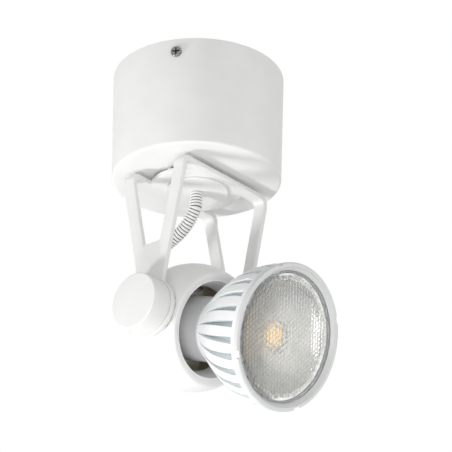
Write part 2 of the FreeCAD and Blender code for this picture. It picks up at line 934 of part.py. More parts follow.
def ball_outside():
    ball = Part.makeSphere(ball_radius)
    reach = ball_radius + overrun
    flat = ball_flat_distance
    return ball.common(block((-flat, flat), (-reach, reach), (-reach, mouth_distance)))


def make_ball_shell():
    outside = ball_outside()
    inner_radius = ball_radius - ball_wall
    hollow = Part.makeSphere(inner_radius)
    reach = ball_radius + overrun
    lip_start = mouth_distance - mouth_lip_depth
    hollow = hollow.common(block((-reach, reach), (-reach, reach), (-reach, lip_start)))
    for side in (-1, 1):
        boss = along_x_bar(boss_radius, boss_face_distance, ball_flat_distance)
        hollow = hollow.cut(turned(boss, 90 * (1 - side)))
    post_top = -holder_face_distance - holder_lug_thickness - bracket_thickness
    post = cylinder(holder_post_radius, -ball_radius, post_top)
    for y in post_places():
        hollow = hollow.cut(moved(post, y=y))
    shell = outside.cut(hollow)
    dish_floor = mouth_distance - mouth_dish_depth
    mouth = [(0, lip_start - thread_clearance), (mouth_lip_radius, lip_start - thread_clearance),
             (mouth_lip_radius, dish_floor),
             (mouth_lip_radius + mouth_dish_width, mouth_distance), (0, mouth_distance)]
    shell = shell.cut(lathe(mouth))
    shell = shell.cut(along_x_bar(insert_radius, -ball_radius, ball_radius))
    shell = shell.cut(cylinder(gland_thread_radius + thread_clearance,
                               -ball_radius - overrun, -holder_face_distance))
    screw_end = holder_screw_length + overrun / 2
    hole = cylinder(holder_screw_radius, -holder_face_distance - screw_end, 0)
    for y in post_places():
        shell = shell.cut(moved(hole, y=y))
    return in_head(shell.removeSplitter())


def make_mouth_collar():
    throat = mouth_distance - collar_depth
    front = mouth_distance - mouth_dish_depth
    lip_start = mouth_distance - mouth_lip_depth
    slope = (collar_mouth_radius - collar_throat_radius) / (front - throat)
    lip_inner = collar_mouth_radius - slope * (front - lip_start)
    ring = lathe([(collar_mouth_radius, front), (mouth_lip_radius, front),
                  (mouth_lip_radius, lip_start), (lip_inner + collar_wall, lip_start),
                  (collar_throat_radius + collar_wall, throat), (collar_throat_radius, throat)])
    return in_head(ring)


def make_pivot_inserts():
    inserts = []
    bore = (stud_radius + running_clearance) / head_share
    flange_face = boss_face_distance - insert_flange_thickness
    for side in (-1, 1):
        insert = along_x_bar(insert_radius, boss_face_distance, ball_flat_distance)
        insert = insert.fuse(along_x_bar(insert_flange_radius, flange_face, boss_face_distance))
        insert = insert.cut(along_x_bar(bore, flange_face - overrun, ball_flat_distance + overrun))
        inserts.append(turned(insert, 90 * (1 - side)))
    return in_head(Part.makeCompound(inserts))


def arc_pocket(radius, low, high):
    """Slot along the pins' circle from the locked place to the unlocked one."""
    ring = tube(pin_circle_radius + radius, pin_circle_radius - radius, low, high)
    reach = pin_circle_radius + radius + overrun
    quarter = block((0, reach), (0, reach), (low - overrun, high + overrun))
    later = turned(quarter, twist_angle - 90)
    pocket = ring.common(quarter.common(later))
    for angle in (0, twist_angle):
        end = moved(cylinder(radius, low, high), x=pin_circle_radius)
        pocket = pocket.fuse(turned(end, angle))
    return pocket


def make_lampholder():
    face = -holder_face_distance
    body = cylinder(holder_radius, holder_rear, face)
    lug = block((-holder_lug_half_width, holder_lug_half_width),
                (-holder_lug_reach, holder_lug_reach), (face - holder_lug_thickness, face))
    body = body.fuse(lug)
    for y in post_places():
        body = body.cut(moved(cylinder(holder_screw_radius + block_screw_clearance,
                                       face - holder_lug_thickness - overrun, face + overrun), y=y))
    floor = face - pocket_depth
    narrow = arc_pocket(pin_neck_radius + pocket_clearance,
                        face - slot_face_thickness - thread_clearance, face + overrun)
    wide = arc_pocket(pin_head_radius + pocket_clearance, floor, face - slot_face_thickness)
    entry = cylinder(pin_head_radius + pocket_clearance, floor, face + overrun)
    entry = turned(moved(entry, x=pin_circle_radius), twist_angle)
    for turn in (0, 180):
        for cut in (narrow, wide, entry):
            body = body.cut(turned(cut, turn))
    body = body.cut(cylinder(lead_pocket_radius, holder_rear - overrun,
                             holder_rear + lead_pocket_depth))
    return in_head(body.removeSplitter())


def make_lampholder_contacts():
    floor = -holder_face_distance - pocket_depth
    contact = cylinder(contact_radius, floor, floor + contact_thickness)
    dome_top = floor + contact_thickness + contact_dome_height
    dome = cylinder(contact_dome_radius, floor, dome_top)
    dome = round_edges(dome, contact_dome_height / 2, circle_edge_at(contact_dome_radius, dome_top))
    contact = moved(contact.fuse(dome), x=pin_circle_radius)
    return in_head(both_sides(contact))


def make_lampholder_screws():
    face = -holder_face_distance
    screw = cylinder(holder_screw_radius, face - holder_screw_length, face)
    head_top = face + holder_screw_head_height
    head = cylinder(holder_screw_head_radius, face, head_top)
    half = terminal_screw_slot_width / 2
    reach = holder_screw_head_radius + overrun
    slot = block((-reach, reach), (-half, half),
                 (head_top - terminal_screw_slot_depth, head_top + overrun))
    screw = screw.fuse(head).cut(slot)
    return in_head(Part.makeCompound([moved(screw, y=y) for y in post_places()]))


def make_holder_bracket():
    top = -holder_face_distance - holder_lug_thickness
    plate = tube(bracket_outer_radius, holder_radius + bracket_clearance,
                 top - bracket_thickness, top)
    reach = bracket_outer_radius + overrun
    plate = plate.common(block((-bracket_half_width, bracket_half_width), (-reach, reach),
                               (top - bracket_thickness, top)))
    hole = cylinder(holder_screw_radius + block_screw_clearance,
                    top - bracket_thickness - overrun, top + overrun)
    for y in post_places():
        plate = plate.cut(moved(hole, y=y))
    return in_head(plate)


def make_conduit_gland():
    collar = cylinder(gland_collar_radius, -gland_end, -ball_radius)
    nut_low = gland_nut_level()
    thread_top = nut_low + gland_nut_height + gland_thread_end
    gland = collar.fuse(cylinder(gland_thread_radius, -ball_radius, thread_top))
    return in_head(gland.cut(cylinder(gland_bore / head_share, -gland_end - overrun, 0)))


def gland_nut_level():
    """The flat nut rests on the hollow of the ball at its corners."""
    corner = gland_nut_width / math.sqrt(3)
    inner_radius = ball_radius - ball_wall
    return gland_nut_seat_gap - math.sqrt(inner_radius ** 2 - corner ** 2)


def make_gland_nut():
    low = gland_nut_level()
    nut = hexagon(gland_nut_width, low, low + gland_nut_height)
    return in_head(nut.cut(cylinder(gland_thread_radius + thread_clearance, low - overrun, 0)))


# Lamp

def heatsink_outline():
    """Radius and distance pairs from tail to front."""
    length = heatsink_front - heatsink_collar_length - heatsink_tail_distance
    span = heatsink_collar_radius - heatsink_tail_radius
    outline = [(heatsink_tail_radius, heatsink_tail_distance)]
    for along, out in zip(bulge_length_shares, bulge_radius_shares):
        outline.append((heatsink_tail_radius + span * out, heatsink_tail_distance + length * along))
    outline.append((heatsink_collar_radius, heatsink_tail_distance + length))
    return outline


def heatsink_body():
    """Smooth spline through the outline, turned about the lamp axis."""
    outline = [Vector(radius, 0, z) for radius, z in heatsink_outline()]
    curve = Part.BSplineCurve()
    curve.interpolate(outline)
    front = Vector(heatsink_collar_radius, 0, heatsink_front)
    corners = [outline[-1], front, Vector(0, 0, heatsink_front),
               Vector(0, 0, heatsink_tail_distance), outline[0]]
    edges = [curve.toShape()]
    edges += [Part.LineSegment(a, b).toShape() for a, b in zip(corners, corners[1:])]
    return Part.Face(Part.Wire(edges)).revolve(Vector(), up, 360)


def fin_slot():
    """Wedge that is wide and deep at the front and runs out at the tail."""
    front = heatsink_front - fin_slot_front_gap
    tail = heatsink_tail_distance + fin_slot_tail_gap
    tail_radius = heatsink_tail_radius - fin_slot_tail_depth
    tail_radius += fin_slot_tail_gap * fin_slot_tail_slope()
    front_floor = heatsink_collar_radius - fin_slot_front_depth
    wires = []
    for level, floor, half in ((tail, tail_radius, fin_slot_tail_half_width),
                               (front, front_floor, fin_slot_half_width)):
        top = floor + fin_slot_outside
        corners = [Vector(floor, -half, level), Vector(top, -half, level),
                   Vector(top, half, level), Vector(floor, half, level)]
        wires.append(Part.makePolygon(corners + corners[:1]))
    return Part.makeLoft(wires, True, True)


def fin_slot_tail_slope():
    (first_radius, first_level), (radius, level) = heatsink_outline()[:2]
    return (radius - first_radius) / (level - first_level)


def make_lamp_heatsink():
    body = heatsink_body()
    body = body.cut(cylinder(heatsink_cavity_radius, cavity_floor, heatsink_front + overrun))
    bore_end = cavity_floor - heatsink_web
    body = body.cut(cylinder(heatsink_bore, heatsink_tail_distance - overrun, bore_end))
    body = body.cut(cylinder(heatsink_wire_hole, bore_end - overrun, cavity_floor + overrun))
    slot = fin_slot()
    step = 360 / fin_slot_count
    slots = [turned(slot, step * (index + fin_phase_share)) for index in range(fin_slot_count)]
    return in_head(body.cut(Part.makeCompound(slots)))


def make_lamp_base():
    body = cylinder(base_radius, base_rear, heatsink_tail_distance)
    body = round_edges(body, base_rounding, circle_edge_at(base_radius, base_rear))
    spigot_end = heatsink_tail_distance + spigot_length
    spigot_radius = heatsink_bore - spigot_clearance
    body = body.fuse(cylinder(spigot_radius, base_rear + base_end_wall, spigot_end))
    body = body.cut(cylinder(base_radius - base_wall, base_rear + base_end_wall,
                             heatsink_tail_distance - base_wall))
    body = body.cut(cylinder(spigot_radius - spigot_wall, base_rear + base_end_wall,
                             spigot_end + overrun))
    pin_hole = cylinder(pin_neck_radius, base_rear - overrun, base_rear + base_end_wall + overrun)
    return in_head(body.cut(both_sides(moved(pin_hole, x=pin_circle_radius))))


def make_lamp_pins():
    neck_end = base_rear - pin_neck_length
    pin = cylinder(pin_neck_radius, neck_end, base_rear + pin_root)
    pin = pin.fuse(cylinder(pin_head_radius, neck_end - pin_head_length, neck_end))
    return in_head(both_sides(moved(pin, x=pin_circle_radius)))


def make_lamp_ring():
    front = lamp_front_distance
    seat = heatsink_front + lamp_ring_seat_depth
    ring = cylinder(lamp_radius, front - lamp_ring_lip_depth, front)
    ring = round_edges(ring, lamp_ring_rounding, circle_edge_at(lamp_radius, front))
    ring = ring.fuse(cylinder(heatsink_collar_radius, heatsink_front, front - lamp_ring_lip_depth))
    ring = ring.cut(cylinder(lamp_ring_seat_radius, heatsink_front - overrun, front + overrun))
    ring = ring.cut(cylinder(lamp_ring_bore, seat, front + overrun))
    notch = block((lamp_radius - notch_depth, lamp_radius + overrun),
                  (-notch_width / 2, notch_width / 2), (heatsink_front - overrun, front + overrun))
    for index in range(notch_count):
        ring = ring.cut(turned(notch, notch_angle + index * 360 / notch_count))
    return in_head(ring)


def make_lamp_lens():
    seat = heatsink_front + lamp_ring_seat_depth
    return in_head(cylinder(lens_radius, seat, seat + lens_thickness))


def board_top():
    return cavity_floor + board_thickness


def make_led_board():
    radius = heatsink_cavity_radius - board_clearance
    board = cylinder(radius, cavity_floor, board_top())
    hole = cylinder(driver_thickness / 2, cavity_floor - overrun, board_top() + overrun)
    return in_head(board.cut(moved(hole, y=led_radius + driver_thickness)))


def make_led():
    led = cylinder(led_radius, board_top(), board_top() + led_height)
    top = board_top() + led_height
    return in_head(round_edges(led, led_height / 2, circle_edge_at(led_radius, top)))


def make_lamp_reflector():
    low = board_top()
    flange_top = heatsink_front + reflector_flange_thickness
    mouth = heatsink_cavity_radius - board_clearance
    flange = lamp_ring_seat_radius - board_clearance
    throat = reflector_throat_radius
    return in_head(lathe([(throat, low), (throat + reflector_wall, low),
                          (mouth, heatsink_front), (flange, heatsink_front),
                          (flange, flange_top), (mouth - reflector_wall, flange_top)]))


def make_driver_board():
    low = base_rear + base_end_wall
    half = driver_thickness / 2
    return in_head(block((-half, half), (-driver_half_width, driver_half_width),
                         (low, low + driver_length)))


def make_driver_components():
    half = driver_thickness / 2
    low = base_rear + base_end_wall + component_start
    capacitor = cylinder(capacitor_radius, low, low + capacitor_length)
    capacitor = moved(capacitor, x=half + capacitor_radius)
    coil_low = low + capacitor_length + component_gap
    coil = block((half, half + coil_height), (-coil_width / 2, coil_width / 2),
                 (coil_low, coil_low + coil_length))
    chip = block((-half - component_gap, -half), (-coil_width / 2, coil_width / 2),
                 (low, low + coil_length))
    return in_head(Part.makeCompound([capacitor, coil, chip]))


def build():
    os.makedirs("parts", exist_ok=True)
    save("canopy_shell", make_canopy_shell())
    save("ceiling_plate", make_ceiling_plate())
    save("canopy_side_screws", make_side_screws())
    save("canopy_stop_stud", make_canopy_stop_stud())
    save("swivel_bush", make_swivel_bush())
    save("terminal_block", make_terminal_block())
    save("terminal_tubes", make_terminal_tubes())
    save("terminal_screws", make_terminal_screws())
    save("terminal_block_screw", make_block_screw())
    save("earth_ring_terminal", make_earth_ring_terminal())
    save("earth_screw", make_earth_screw())
    save("live_lead", terminal_lead(-pole_spacing / 2, 0))
    save("neutral_lead", terminal_lead(pole_spacing / 2, 2))
    save("earth_lead", make_earth_lead())
    save("yoke_bracket", make_yoke_bracket())
    save("swivel_bolt", make_swivel_bolt())
    save("yoke_stop_pin", make_yoke_stop_pin())
    save("swivel_washer", make_swivel_washer())
    save("swivel_spring_washer", make_swivel_spring_washer())
    save("swivel_nut", make_swivel_nut())
    save("flex_conduit", make_flex_conduit())
    save("head_live_lead", head_lead(0))
    save("head_neutral_lead", head_lead(2))
    save("head_earth_lead", head_lead(1))
    for name, side in (("left", -1), ("right", 1)):
        save("knob_" + name, make_knob(side))
        save("knob_stud_" + name, make_knob_stud(side))
        save("knob_spring_" + name, make_knob_spring(side))
    save("friction_washers", make_friction_washers())
    save("ball_shell", make_ball_shell())
    save("mouth_collar", make_mouth_collar())
    save("pivot_inserts", make_pivot_inserts())
    save("lampholder", make_lampholder())
    save("lampholder_contacts", make_lampholder_contacts())
    save("lampholder_screws", make_lampholder_screws())
    save("holder_bracket", make_holder_bracket())
    save("conduit_gland", make_conduit_gland())
    save("gland_nut", make_gland_nut())
    save("lamp_heatsink", make_lamp_heatsink())
    save("lamp_base", make_lamp_base())
    save("lamp_pins", make_lamp_pins())
    save("lamp_ring", make_lamp_ring())
    save("lamp_lens", make_lamp_lens())
    save("lamp_reflector", make_lamp_reflector())
    save("led_board", make_led_board())
    save("led", make_led())
    save("driver_board", make_driver_board())
    save("driver_components", make_driver_components())


build()
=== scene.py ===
import json
import math

import bpy
from mathutils import Matrix, Vector


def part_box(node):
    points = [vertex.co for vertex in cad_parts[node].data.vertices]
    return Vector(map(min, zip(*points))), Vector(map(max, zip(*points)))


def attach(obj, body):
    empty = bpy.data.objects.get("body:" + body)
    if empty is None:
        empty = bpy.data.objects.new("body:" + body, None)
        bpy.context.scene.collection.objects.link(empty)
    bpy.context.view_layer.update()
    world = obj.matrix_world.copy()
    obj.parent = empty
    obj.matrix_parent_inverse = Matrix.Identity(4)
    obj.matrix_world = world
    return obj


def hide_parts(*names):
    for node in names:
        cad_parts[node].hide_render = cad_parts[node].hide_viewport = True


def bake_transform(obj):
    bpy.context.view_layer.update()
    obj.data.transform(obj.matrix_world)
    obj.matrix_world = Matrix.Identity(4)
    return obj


# Ceiling spotlight: white canopy, windowed yoke, ball head and finned reflector lamp.
# Metres, in the model's own frame: +Z up into the ceiling, the lamp looks to -Y.

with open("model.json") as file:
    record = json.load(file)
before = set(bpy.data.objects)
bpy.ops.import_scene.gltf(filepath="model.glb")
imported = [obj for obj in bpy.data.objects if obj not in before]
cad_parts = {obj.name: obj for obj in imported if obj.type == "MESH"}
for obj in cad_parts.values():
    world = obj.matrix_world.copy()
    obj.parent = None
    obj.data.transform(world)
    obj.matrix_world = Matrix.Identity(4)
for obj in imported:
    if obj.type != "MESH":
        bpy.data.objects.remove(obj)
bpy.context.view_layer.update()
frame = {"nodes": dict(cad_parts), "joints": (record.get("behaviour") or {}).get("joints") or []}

# Places read from the frame
canopy_low, canopy_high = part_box("canopy_shell")
yoke_low, yoke_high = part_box("yoke_bracket")
knob_low, knob_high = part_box("knob_right")
hub_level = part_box("flex_conduit")[1].z
pivot_level = (knob_low.z + knob_high.z) / 2
joint_axes = {joint["name"]: Vector(joint["axis"]) for joint in frame["joints"]}
lamp_axis = joint_axes["lamp_twist"].normalized()
head_tilt = math.atan2(-lamp_axis.z, -lamp_axis.y)
head_place = (Matrix.Translation((0, 0, pivot_level))
              @ Matrix.Rotation(math.pi / 2 + head_tilt, 4, "X"))

# Round work and edges
fine_steps = 160
small_steps = 64
lamp_steps = 168
hole_steps = 48
bend_steps = 10
fillet_steps = 8
eye_steps = 40
edge_steps = 5
bevel_steps = 2
weld_distance = 0.000002
smooth_angle = math.radians(32)
ribbed_smooth_angle = math.radians(50)
flat_angle = math.radians(0.5)
edge_angle = math.radians(35)

# Canopy
canopy_top_radius = canopy_high.x
canopy_bottom_radius = 0.0304
canopy_wall = 0.0012
canopy_edge_radius = 0.001
canopy_hole_radius = 0.0066
canopy_rim_radius = 0.0002
canopy_edge_steps = 6
screw_azimuth = math.radians(26.8)
screw_cross_depth = 0.00055
screw_cross_reach = 0.0014
screw_face_skin = 0.00003

# Yoke
sheet = 0.0018
plate_top = yoke_high.z
plate_bottom = plate_top - sheet
arm_outer = yoke_high.x
arm_inner = arm_outer - sheet
yoke_half_depth = yoke_high.y
bend_radius = 0.003
inner_bend_radius = 0.0021
taper_top = plate_bottom - 0.003
neck_half_width = 0.005
neck_level = pivot_level + 0.0069
eye_radius = 0.0102
eye_fillet = 0.0024
window_half_width = 0.0094
window_foot = pivot_level + 0.0244
window_foot_half_width = 0.0039
window_corner = 0.0008
plate_window_radius = 0.0166
plate_window_steps = 24
hub_hole_radius = 0.00505
pivot_hole_radius = 0.0029
yoke_edge = 0.00018

# Knobs
knob_radius = knob_high.z - pivot_level
knob_base = knob_low.x
knob_face = knob_high.x
knob_edge = 0.00045
knob_recess_radius = 0.0052
knob_recess_depth = 0.0013
knob_bore_radius = 0.0025
knob_bore_depth = 0.0052

# Head
ball_radius = 0.0224
ball_inner_radius = 0.02
ball_flat = 0.0202
ball_outer_steps = 44
ball_inner_steps = 36
mouth_distance = 0.0107
mouth_lip_radius = 0.0172
mouth_lip_depth = 0.003
mouth_dish_depth = 0.0007
mouth_dish_width = 0.0016
mouth_edge = 0.0004
mouth_edge_in_share = 0.35
mouth_edge_down_share = 0.4
mouth_edge_stop = 0.9
rear_hole_radius = 0.00317
boss_radius = 0.0055
boss_face = 0.0169
collar_mouth_radius = 0.0168
collar_throat_radius = 0.0147
collar_depth = 0.008
collar_wall = 0.0006
collar_edge = 0.00018
collar_edge_steps = 3
gland_end = 0.0246
holder_pocket = 0.0132

# Lamp
lamp_front = 0.04515
lamp_radius = 0.025
ring_back = 0.0422
ring_edge = 0.0006
ring_lip_depth = 0.0013
ring_groove_radius = 0.02345
ring_groove_depth = 0.0003
ring_groove_half_width = 0.00016
ring_groove_edge = 0.00008
ring_bevel_start = 0.02325
ring_bore = 0.02225
ring_throat = 0.0212
ring_seat = 0.0432
notch_count = 4
notch_angle = math.radians(31)
notch_half_width = 0.0013
notch_floor_radius = 0.0242
lens_radius = 0.0222
lens_thickness = 0.0007
lens_edge = 0.00015
lens_edge_steps = 3
prism_pitch = 0.00162
prism_reach = 0.0211
prism_thickness = 0.00018
prism_height = 0.00026
prism_inset_share = 0.12
prism_step_shares = (0.42, 0.31, 0.20)
prism_tip_share = 0.07
prism_weld = 0.00001
prism_smooth_angle = math.radians(25)
prism_turn = math.radians(50)
prism_gap = 0.00003
tail_distance = 0.0123
tail_radius = 0.0113
sink_collar_radius = 0.0244
sink_collar_length = 0.0027
sink_cavity_radius = 0.0192
sink_cavity_floor = 0.0358
bulge_parts = 4
slot_count = 28
slot_front = 0.0418
slot_tail = 0.0157
slot_front_floor = 0.0217
slot_tail_floor = 0.01275
slot_half_width = 0.0012
slot_tail_half_width = 0.00012
slot_reach = 0.006
slot_phase_share = 0.6
slot_skin = 0.00025
slot_flank_share = 0.5
base_rear = -0.0039
base_radius = 0.0113
base_edge = 0.0008
base_front_edge = 0.0002
reflector_throat = 0.0056
reflector_mouth = 0.019
reflector_flange = 0.0211
reflector_floor = 0.0369
reflector_rim = 0.04255
reflector_wall = 0.00012
reflector_steps = 12
reflector_curve = 1.6
board_radius = 0.0191
board_floor = 0.0358
board_face = 0.0368
board_edge = 0.0001
board_edge_steps = 2
led_radius = 0.0034
led_height = 0.0008
led_edge_share = 0.6

# Shares of the lamp body's length and of its growth in radius, as its outline bulges
bulge_length_shares = [0, 0.06, 0.16, 0.26, 0.40, 0.54, 0.68, 0.82, 1]
bulge_radius_shares = [0, 0.055, 0.19, 0.34, 0.53, 0.695, 0.825, 0.92, 1]


def behind_pivot(distance):
    """Place on the lamp's axis, on the rear side of the head."""
    return tuple(head_place @ Vector((0, 0, -distance)))


# Conduit: route from the hub round the back of the head to its gland
conduit_route = [
    (0, 0, hub_level),
    (0, 0, hub_level - 0.0045),
    (0, 0.0003, hub_level - 0.0066),
    (0, 0.0056, hub_level - 0.0132),
    (0, 0.0153, hub_level - 0.0168),
    (0, 0.0240, hub_level - 0.0222),
    (0, 0.0312, hub_level - 0.0316),
    behind_pivot(0.0332),
    behind_pivot(0.0293),
    behind_pivot(gland_end),
]
rib_pitch = 0.0011
rib_crest = 0.00235
rib_brow = 0.00229
rib_flank = 0.00212
rib_root = 0.00178
conduit_sides = 40
route_steps = 24
route_order = 3
conduit_bore = 0.0016
core_radius = 0.00065
core_circle_radius = 0.00084
core_sides = 16
core_steps = 56
core_first_angle = 90
core_spacing_angle = 120


# Working in Blender by hand

def deselect():
    """Back to object mode with nothing picked."""
    if bpy.context.mode != "OBJECT":
        bpy.ops.object.mode_set(mode="OBJECT")
    bpy.ops.object.select_all(action="DESELECT")


def add_to_scene(piece):
    bpy.context.scene.collection.objects.link(piece)


def pick(piece):
    deselect()
    piece.select_set(True)
    bpy.context.view_layer.objects.active = piece


def edit(piece):
    pick(piece)
    bpy.ops.object.mode_set(mode="EDIT")
    bpy.ops.mesh.select_all(action="SELECT")


def drawn_line(name, points, closed=True):
    """One vertex extruded from point to point, left in edit mode with all of it selected."""
    deselect()
    bpy.ops.mesh.primitive_plane_add(size=sheet)
    piece = bpy.context.object
    piece.name = name
    piece.data.name = name
    bpy.ops.object.mode_set(mode="EDIT")
    bpy.ops.mesh.select_all(action="SELECT")
    bpy.ops.mesh.merge(type="CENTER")
    bpy.ops.transform.translate(value=points[0])
    path = list(points) + [points[0]] if closed else list(points)
    for before, after in zip(path, path[1:]):
        step = Vector(after) - Vector(before)
        bpy.ops.mesh.extrude_vertices_move(TRANSFORM_OT_translate={"value": step})
    bpy.ops.mesh.select_all(action="SELECT")
    bpy.ops.mesh.remove_doubles(threshold=weld_distance)
    return piece


def tidy_mesh():
    """Weld and turn all faces outwards, still in edit mode."""
    bpy.ops.mesh.select_all(action="SELECT")
    bpy.ops.mesh.remove_doubles(threshold=weld_distance)
    bpy.ops.mesh.normals_make_consistent(inside=False)
    bpy.ops.object.mode_set(mode="OBJECT")


def turned(name, profile, steps=fine_steps, closed=True):
    """Profile of radius and height pairs, spun round Z."""
    piece = drawn_line(name, [(radius, 0, height) for radius, height in profile], closed)
    bpy.ops.mesh.spin(steps=steps, angle=2 * math.pi, center=(0, 0, 0), axis=(0, 0, 1))
    tidy_mesh()
    return piece


def prism(name, outline, depth):
    """Flat outline extruded by a vector."""
    piece = drawn_line(name, outline)
    bpy.ops.mesh.edge_face_add()
    bpy.ops.mesh.extrude_region_move(TRANSFORM_OT_translate={"value": depth})
    tidy_mesh()
    return piece


def rounded(points, radii, segments=edge_steps):
    """Closed flat outline with its corners made arcs."""
    outline = []
    count = len(points)
    for index, (point, radius) in enumerate(zip(points, radii)):
        corner = Vector(point)
        if not radius:
            outline.append(tuple(corner))
            continue
        back = (Vector(points[index - 1]) - corner).normalized()
        ahead = (Vector(points[(index + 1) % count]) - corner).normalized()
        half = back.angle(ahead) / 2
        centre = corner + (back + ahead).normalized() * (radius / math.sin(half))
        start = corner + back * (radius / math.tan(half)) - centre
        end = corner + ahead * (radius / math.tan(half)) - centre
        for step in range(segments + 1):
            outline.append(tuple(centre + start.slerp(end, step / segments).normalized() * radius))
    return outline


def profile_with_edges(points, radii, segments=edge_steps):
    """Radius and height pairs with rounded corners."""
    flat = rounded([(radius, height, 0) for radius, height in points], radii, segments)
    return [(x, y) for x, y, z in flat]


def arc(centre, radius, start, end, count):
    """Points of a circle between two angles, in degrees."""
    angles = [math.radians(start + (end - start) * step / count) for step in range(count + 1)]
    return [(centre[0] + radius * math.cos(a), centre[1] + radius * math.sin(a)) for a in angles]


def apply_modifiers(piece):
    pick(piece)
    for modifier in list(piece.modifiers):
        bpy.ops.object.modifier_apply(modifier=modifier.name)


def carve(piece, cutter, operation="DIFFERENCE"):
    """Cut one solid with another and throw the cutter away."""
    modifier = piece.modifiers.new("carve", "BOOLEAN")
    modifier.operation = operation
    modifier.solver = "EXACT"
    modifier.object = cutter
    apply_modifiers(piece)
    bpy.data.objects.remove(cutter)


def joined(pieces):
    pick(pieces[0])
    for piece in pieces:
        piece.select_set(True)
    bpy.ops.object.join()
    return pieces[0]


def copied(piece):
    """A copy with its own mesh."""
    other = piece.copy()
    other.data = piece.data.copy()
    add_to_scene(other)
    return other


def soften(piece, width):
    """Small round on every sharp edge."""
    edit(piece)
    bpy.ops.mesh.remove_doubles(threshold=weld_distance)
    bpy.ops.mesh.dissolve_limited(angle_limit=flat_angle)
    bpy.ops.object.mode_set(mode="OBJECT")
    modifier = piece.modifiers.new("edge", "BEVEL")
    modifier.width = width
    modifier.segments = bevel_steps
    modifier.limit_method = "ANGLE"
    modifier.angle_limit = edge_angle
    apply_modifiers(piece)


def smooth(piece, angle=smooth_angle):
    pick(piece)
    bpy.ops.object.shade_smooth_by_angle(angle=angle)


def repeat(piece, name, count, offset):
    """Array at a fixed distance, left live for apply_modifiers."""
    modifier = piece.modifiers.new(name, "ARRAY")
    modifier.count = count
    modifier.use_relative_offset = False
    modifier.use_constant_offset = True
    modifier.constant_offset_displace = offset
    return modifier


def paint(piece, material, inner=None, is_inner=None):
    """One material, and another on the faces that a test picks."""
    piece.data.materials.clear()
    piece.data.materials.append(material)
    for face in piece.data.polygons:
        face.material_index = 0
    if inner:
        piece.data.materials.append(inner)
        for face in piece.data.polygons:
            if is_inner(face):
                face.material_index = 1


def settle(piece, body, slot, *nodes):
    """The piece stands for CAD nodes and rides on a body; the slot argument is not used."""
    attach(piece, body)
    if nodes:
        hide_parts(*nodes)


def settle_in_head(piece, body, slot, *nodes):
    """The same for a piece drawn in the head's own frame, with the lamp's axis along Z."""
    piece.data.transform(head_place)
    settle(piece, body, slot, *nodes)


# Materials: noise that varies colour and gloss a little, the same on every piece of a finish

ramp_positions = (0.35, 0.65)
wide_detail = 2.0
fine_detail = 4.0
brushed_detail = 5.0
brushed_spread = 0.15
brushed_bump_strength = 0.5
plastic_ior = 1.49
plastic_grain = 700.0
plastic_spread = 0.05
# Amber emission of the unlit light source: painted glow.
phosphor_painted_glow_colour = (1.0, 0.66, 0.28, 1)
phosphor_painted_glow = 1.0


def new_material(name):
    material = bpy.data.materials.new(name)
    material.use_nodes = True
    nodes = material.node_tree.nodes
    return material, nodes, material.node_tree.links, nodes["Principled BSDF"]


def noise(nodes, links, scale, detail, stretch=None):
    """Noise in the object's own place, squeezed along an axis where a stretch is given."""
    place = nodes.new("ShaderNodeTexCoord").outputs["Object"]
    if stretch:
        mapping = nodes.new("ShaderNodeMapping")
        mapping.inputs["Scale"].default_value = stretch
        links.new(place, mapping.inputs["Vector"])
        place = mapping.outputs["Vector"]
    texture = nodes.new("ShaderNodeTexNoise")
    texture.inputs["Scale"].default_value = scale
    texture.inputs["Detail"].default_value = detail
    links.new(place, texture.inputs["Vector"])
    return texture.outputs["Fac"]


def shaded_mix(nodes, links, factor, first, second):
    """Colour between two values of a texture."""
    ramp = nodes.new("ShaderNodeValToRGB")
    ends = zip(ramp.color_ramp.elements, ramp_positions, (first, second))
    for element, position, colour in ends:
        element.position = position
        element.color = (*colour, 1)
    links.new(factor, ramp.inputs["Fac"])
    return ramp.outputs["Color"]


def scaled(nodes, links, value, low, high):
    """A value between 0 and 1 spread over another range."""
    spread = nodes.new("ShaderNodeMapRange")
    spread.inputs["To Min"].default_value = low
    spread.inputs["To Max"].default_value = high
    links.new(value, spread.inputs["Value"])
    return spread.outputs["Result"]


def add_bump(nodes, links, shader, height, distance, strength=1.0):
    bump = nodes.new("ShaderNodeBump")
    bump.inputs["Distance"].default_value = distance
    bump.inputs["Strength"].default_value = strength
    links.new(height, bump.inputs["Height"])
    links.new(bump.outputs["Normal"], shader.inputs["Normal"])


def surface(name, first, second, roughness, spread, grain, bump, metallic=0.0, mottle=90.0):
    """Opaque finish: two close colours, a grain that breaks the gloss, and a fine bump."""
    material, nodes, links, shader = new_material(name)
    shader.inputs["Metallic"].default_value = metallic
    wide = noise(nodes, links, mottle, wide_detail)
    links.new(shaded_mix(nodes, links, wide, first, second), shader.inputs["Base Color"])
    fine = noise(nodes, links, grain, fine_detail)
    links.new(scaled(nodes, links, fine, roughness - spread, roughness + spread),
              shader.inputs["Roughness"])
    add_bump(nodes, links, shader, fine, bump)
    return material


def brushed(name, first, second, roughness, stretch, scale, bump):
    """Metal with fine lines: noise squeezed across them."""
    material, nodes, links, shader = new_material(name)
    shader.inputs["Metallic"].default_value = 1.0
    lines = noise(nodes, links, scale, brushed_detail, stretch)
    links.new(shaded_mix(nodes, links, lines, first, second), shader.inputs["Base Color"])
    links.new(scaled(nodes, links, lines, roughness, roughness + brushed_spread),
              shader.inputs["Roughness"])
    add_bump(nodes, links, shader, lines, bump, brushed_bump_strength)
    return material


def clear_plastic(name, colour, roughness, clearness):
    """See-through finish; a clearness under 1 leaves it slightly milky."""
    material, nodes, links, shader = new_material(name)
    shader.inputs["Base Color"].default_value = (*colour, 1)
    shader.inputs["Transmission Weight"].default_value = clearness
    shader.inputs["IOR"].default_value = plastic_ior
    fine = noise(nodes, links, plastic_grain, wide_detail)
    links.new(scaled(nodes, links, fine, roughness, roughness + plastic_spread),
              shader.inputs["Roughness"])
    return material


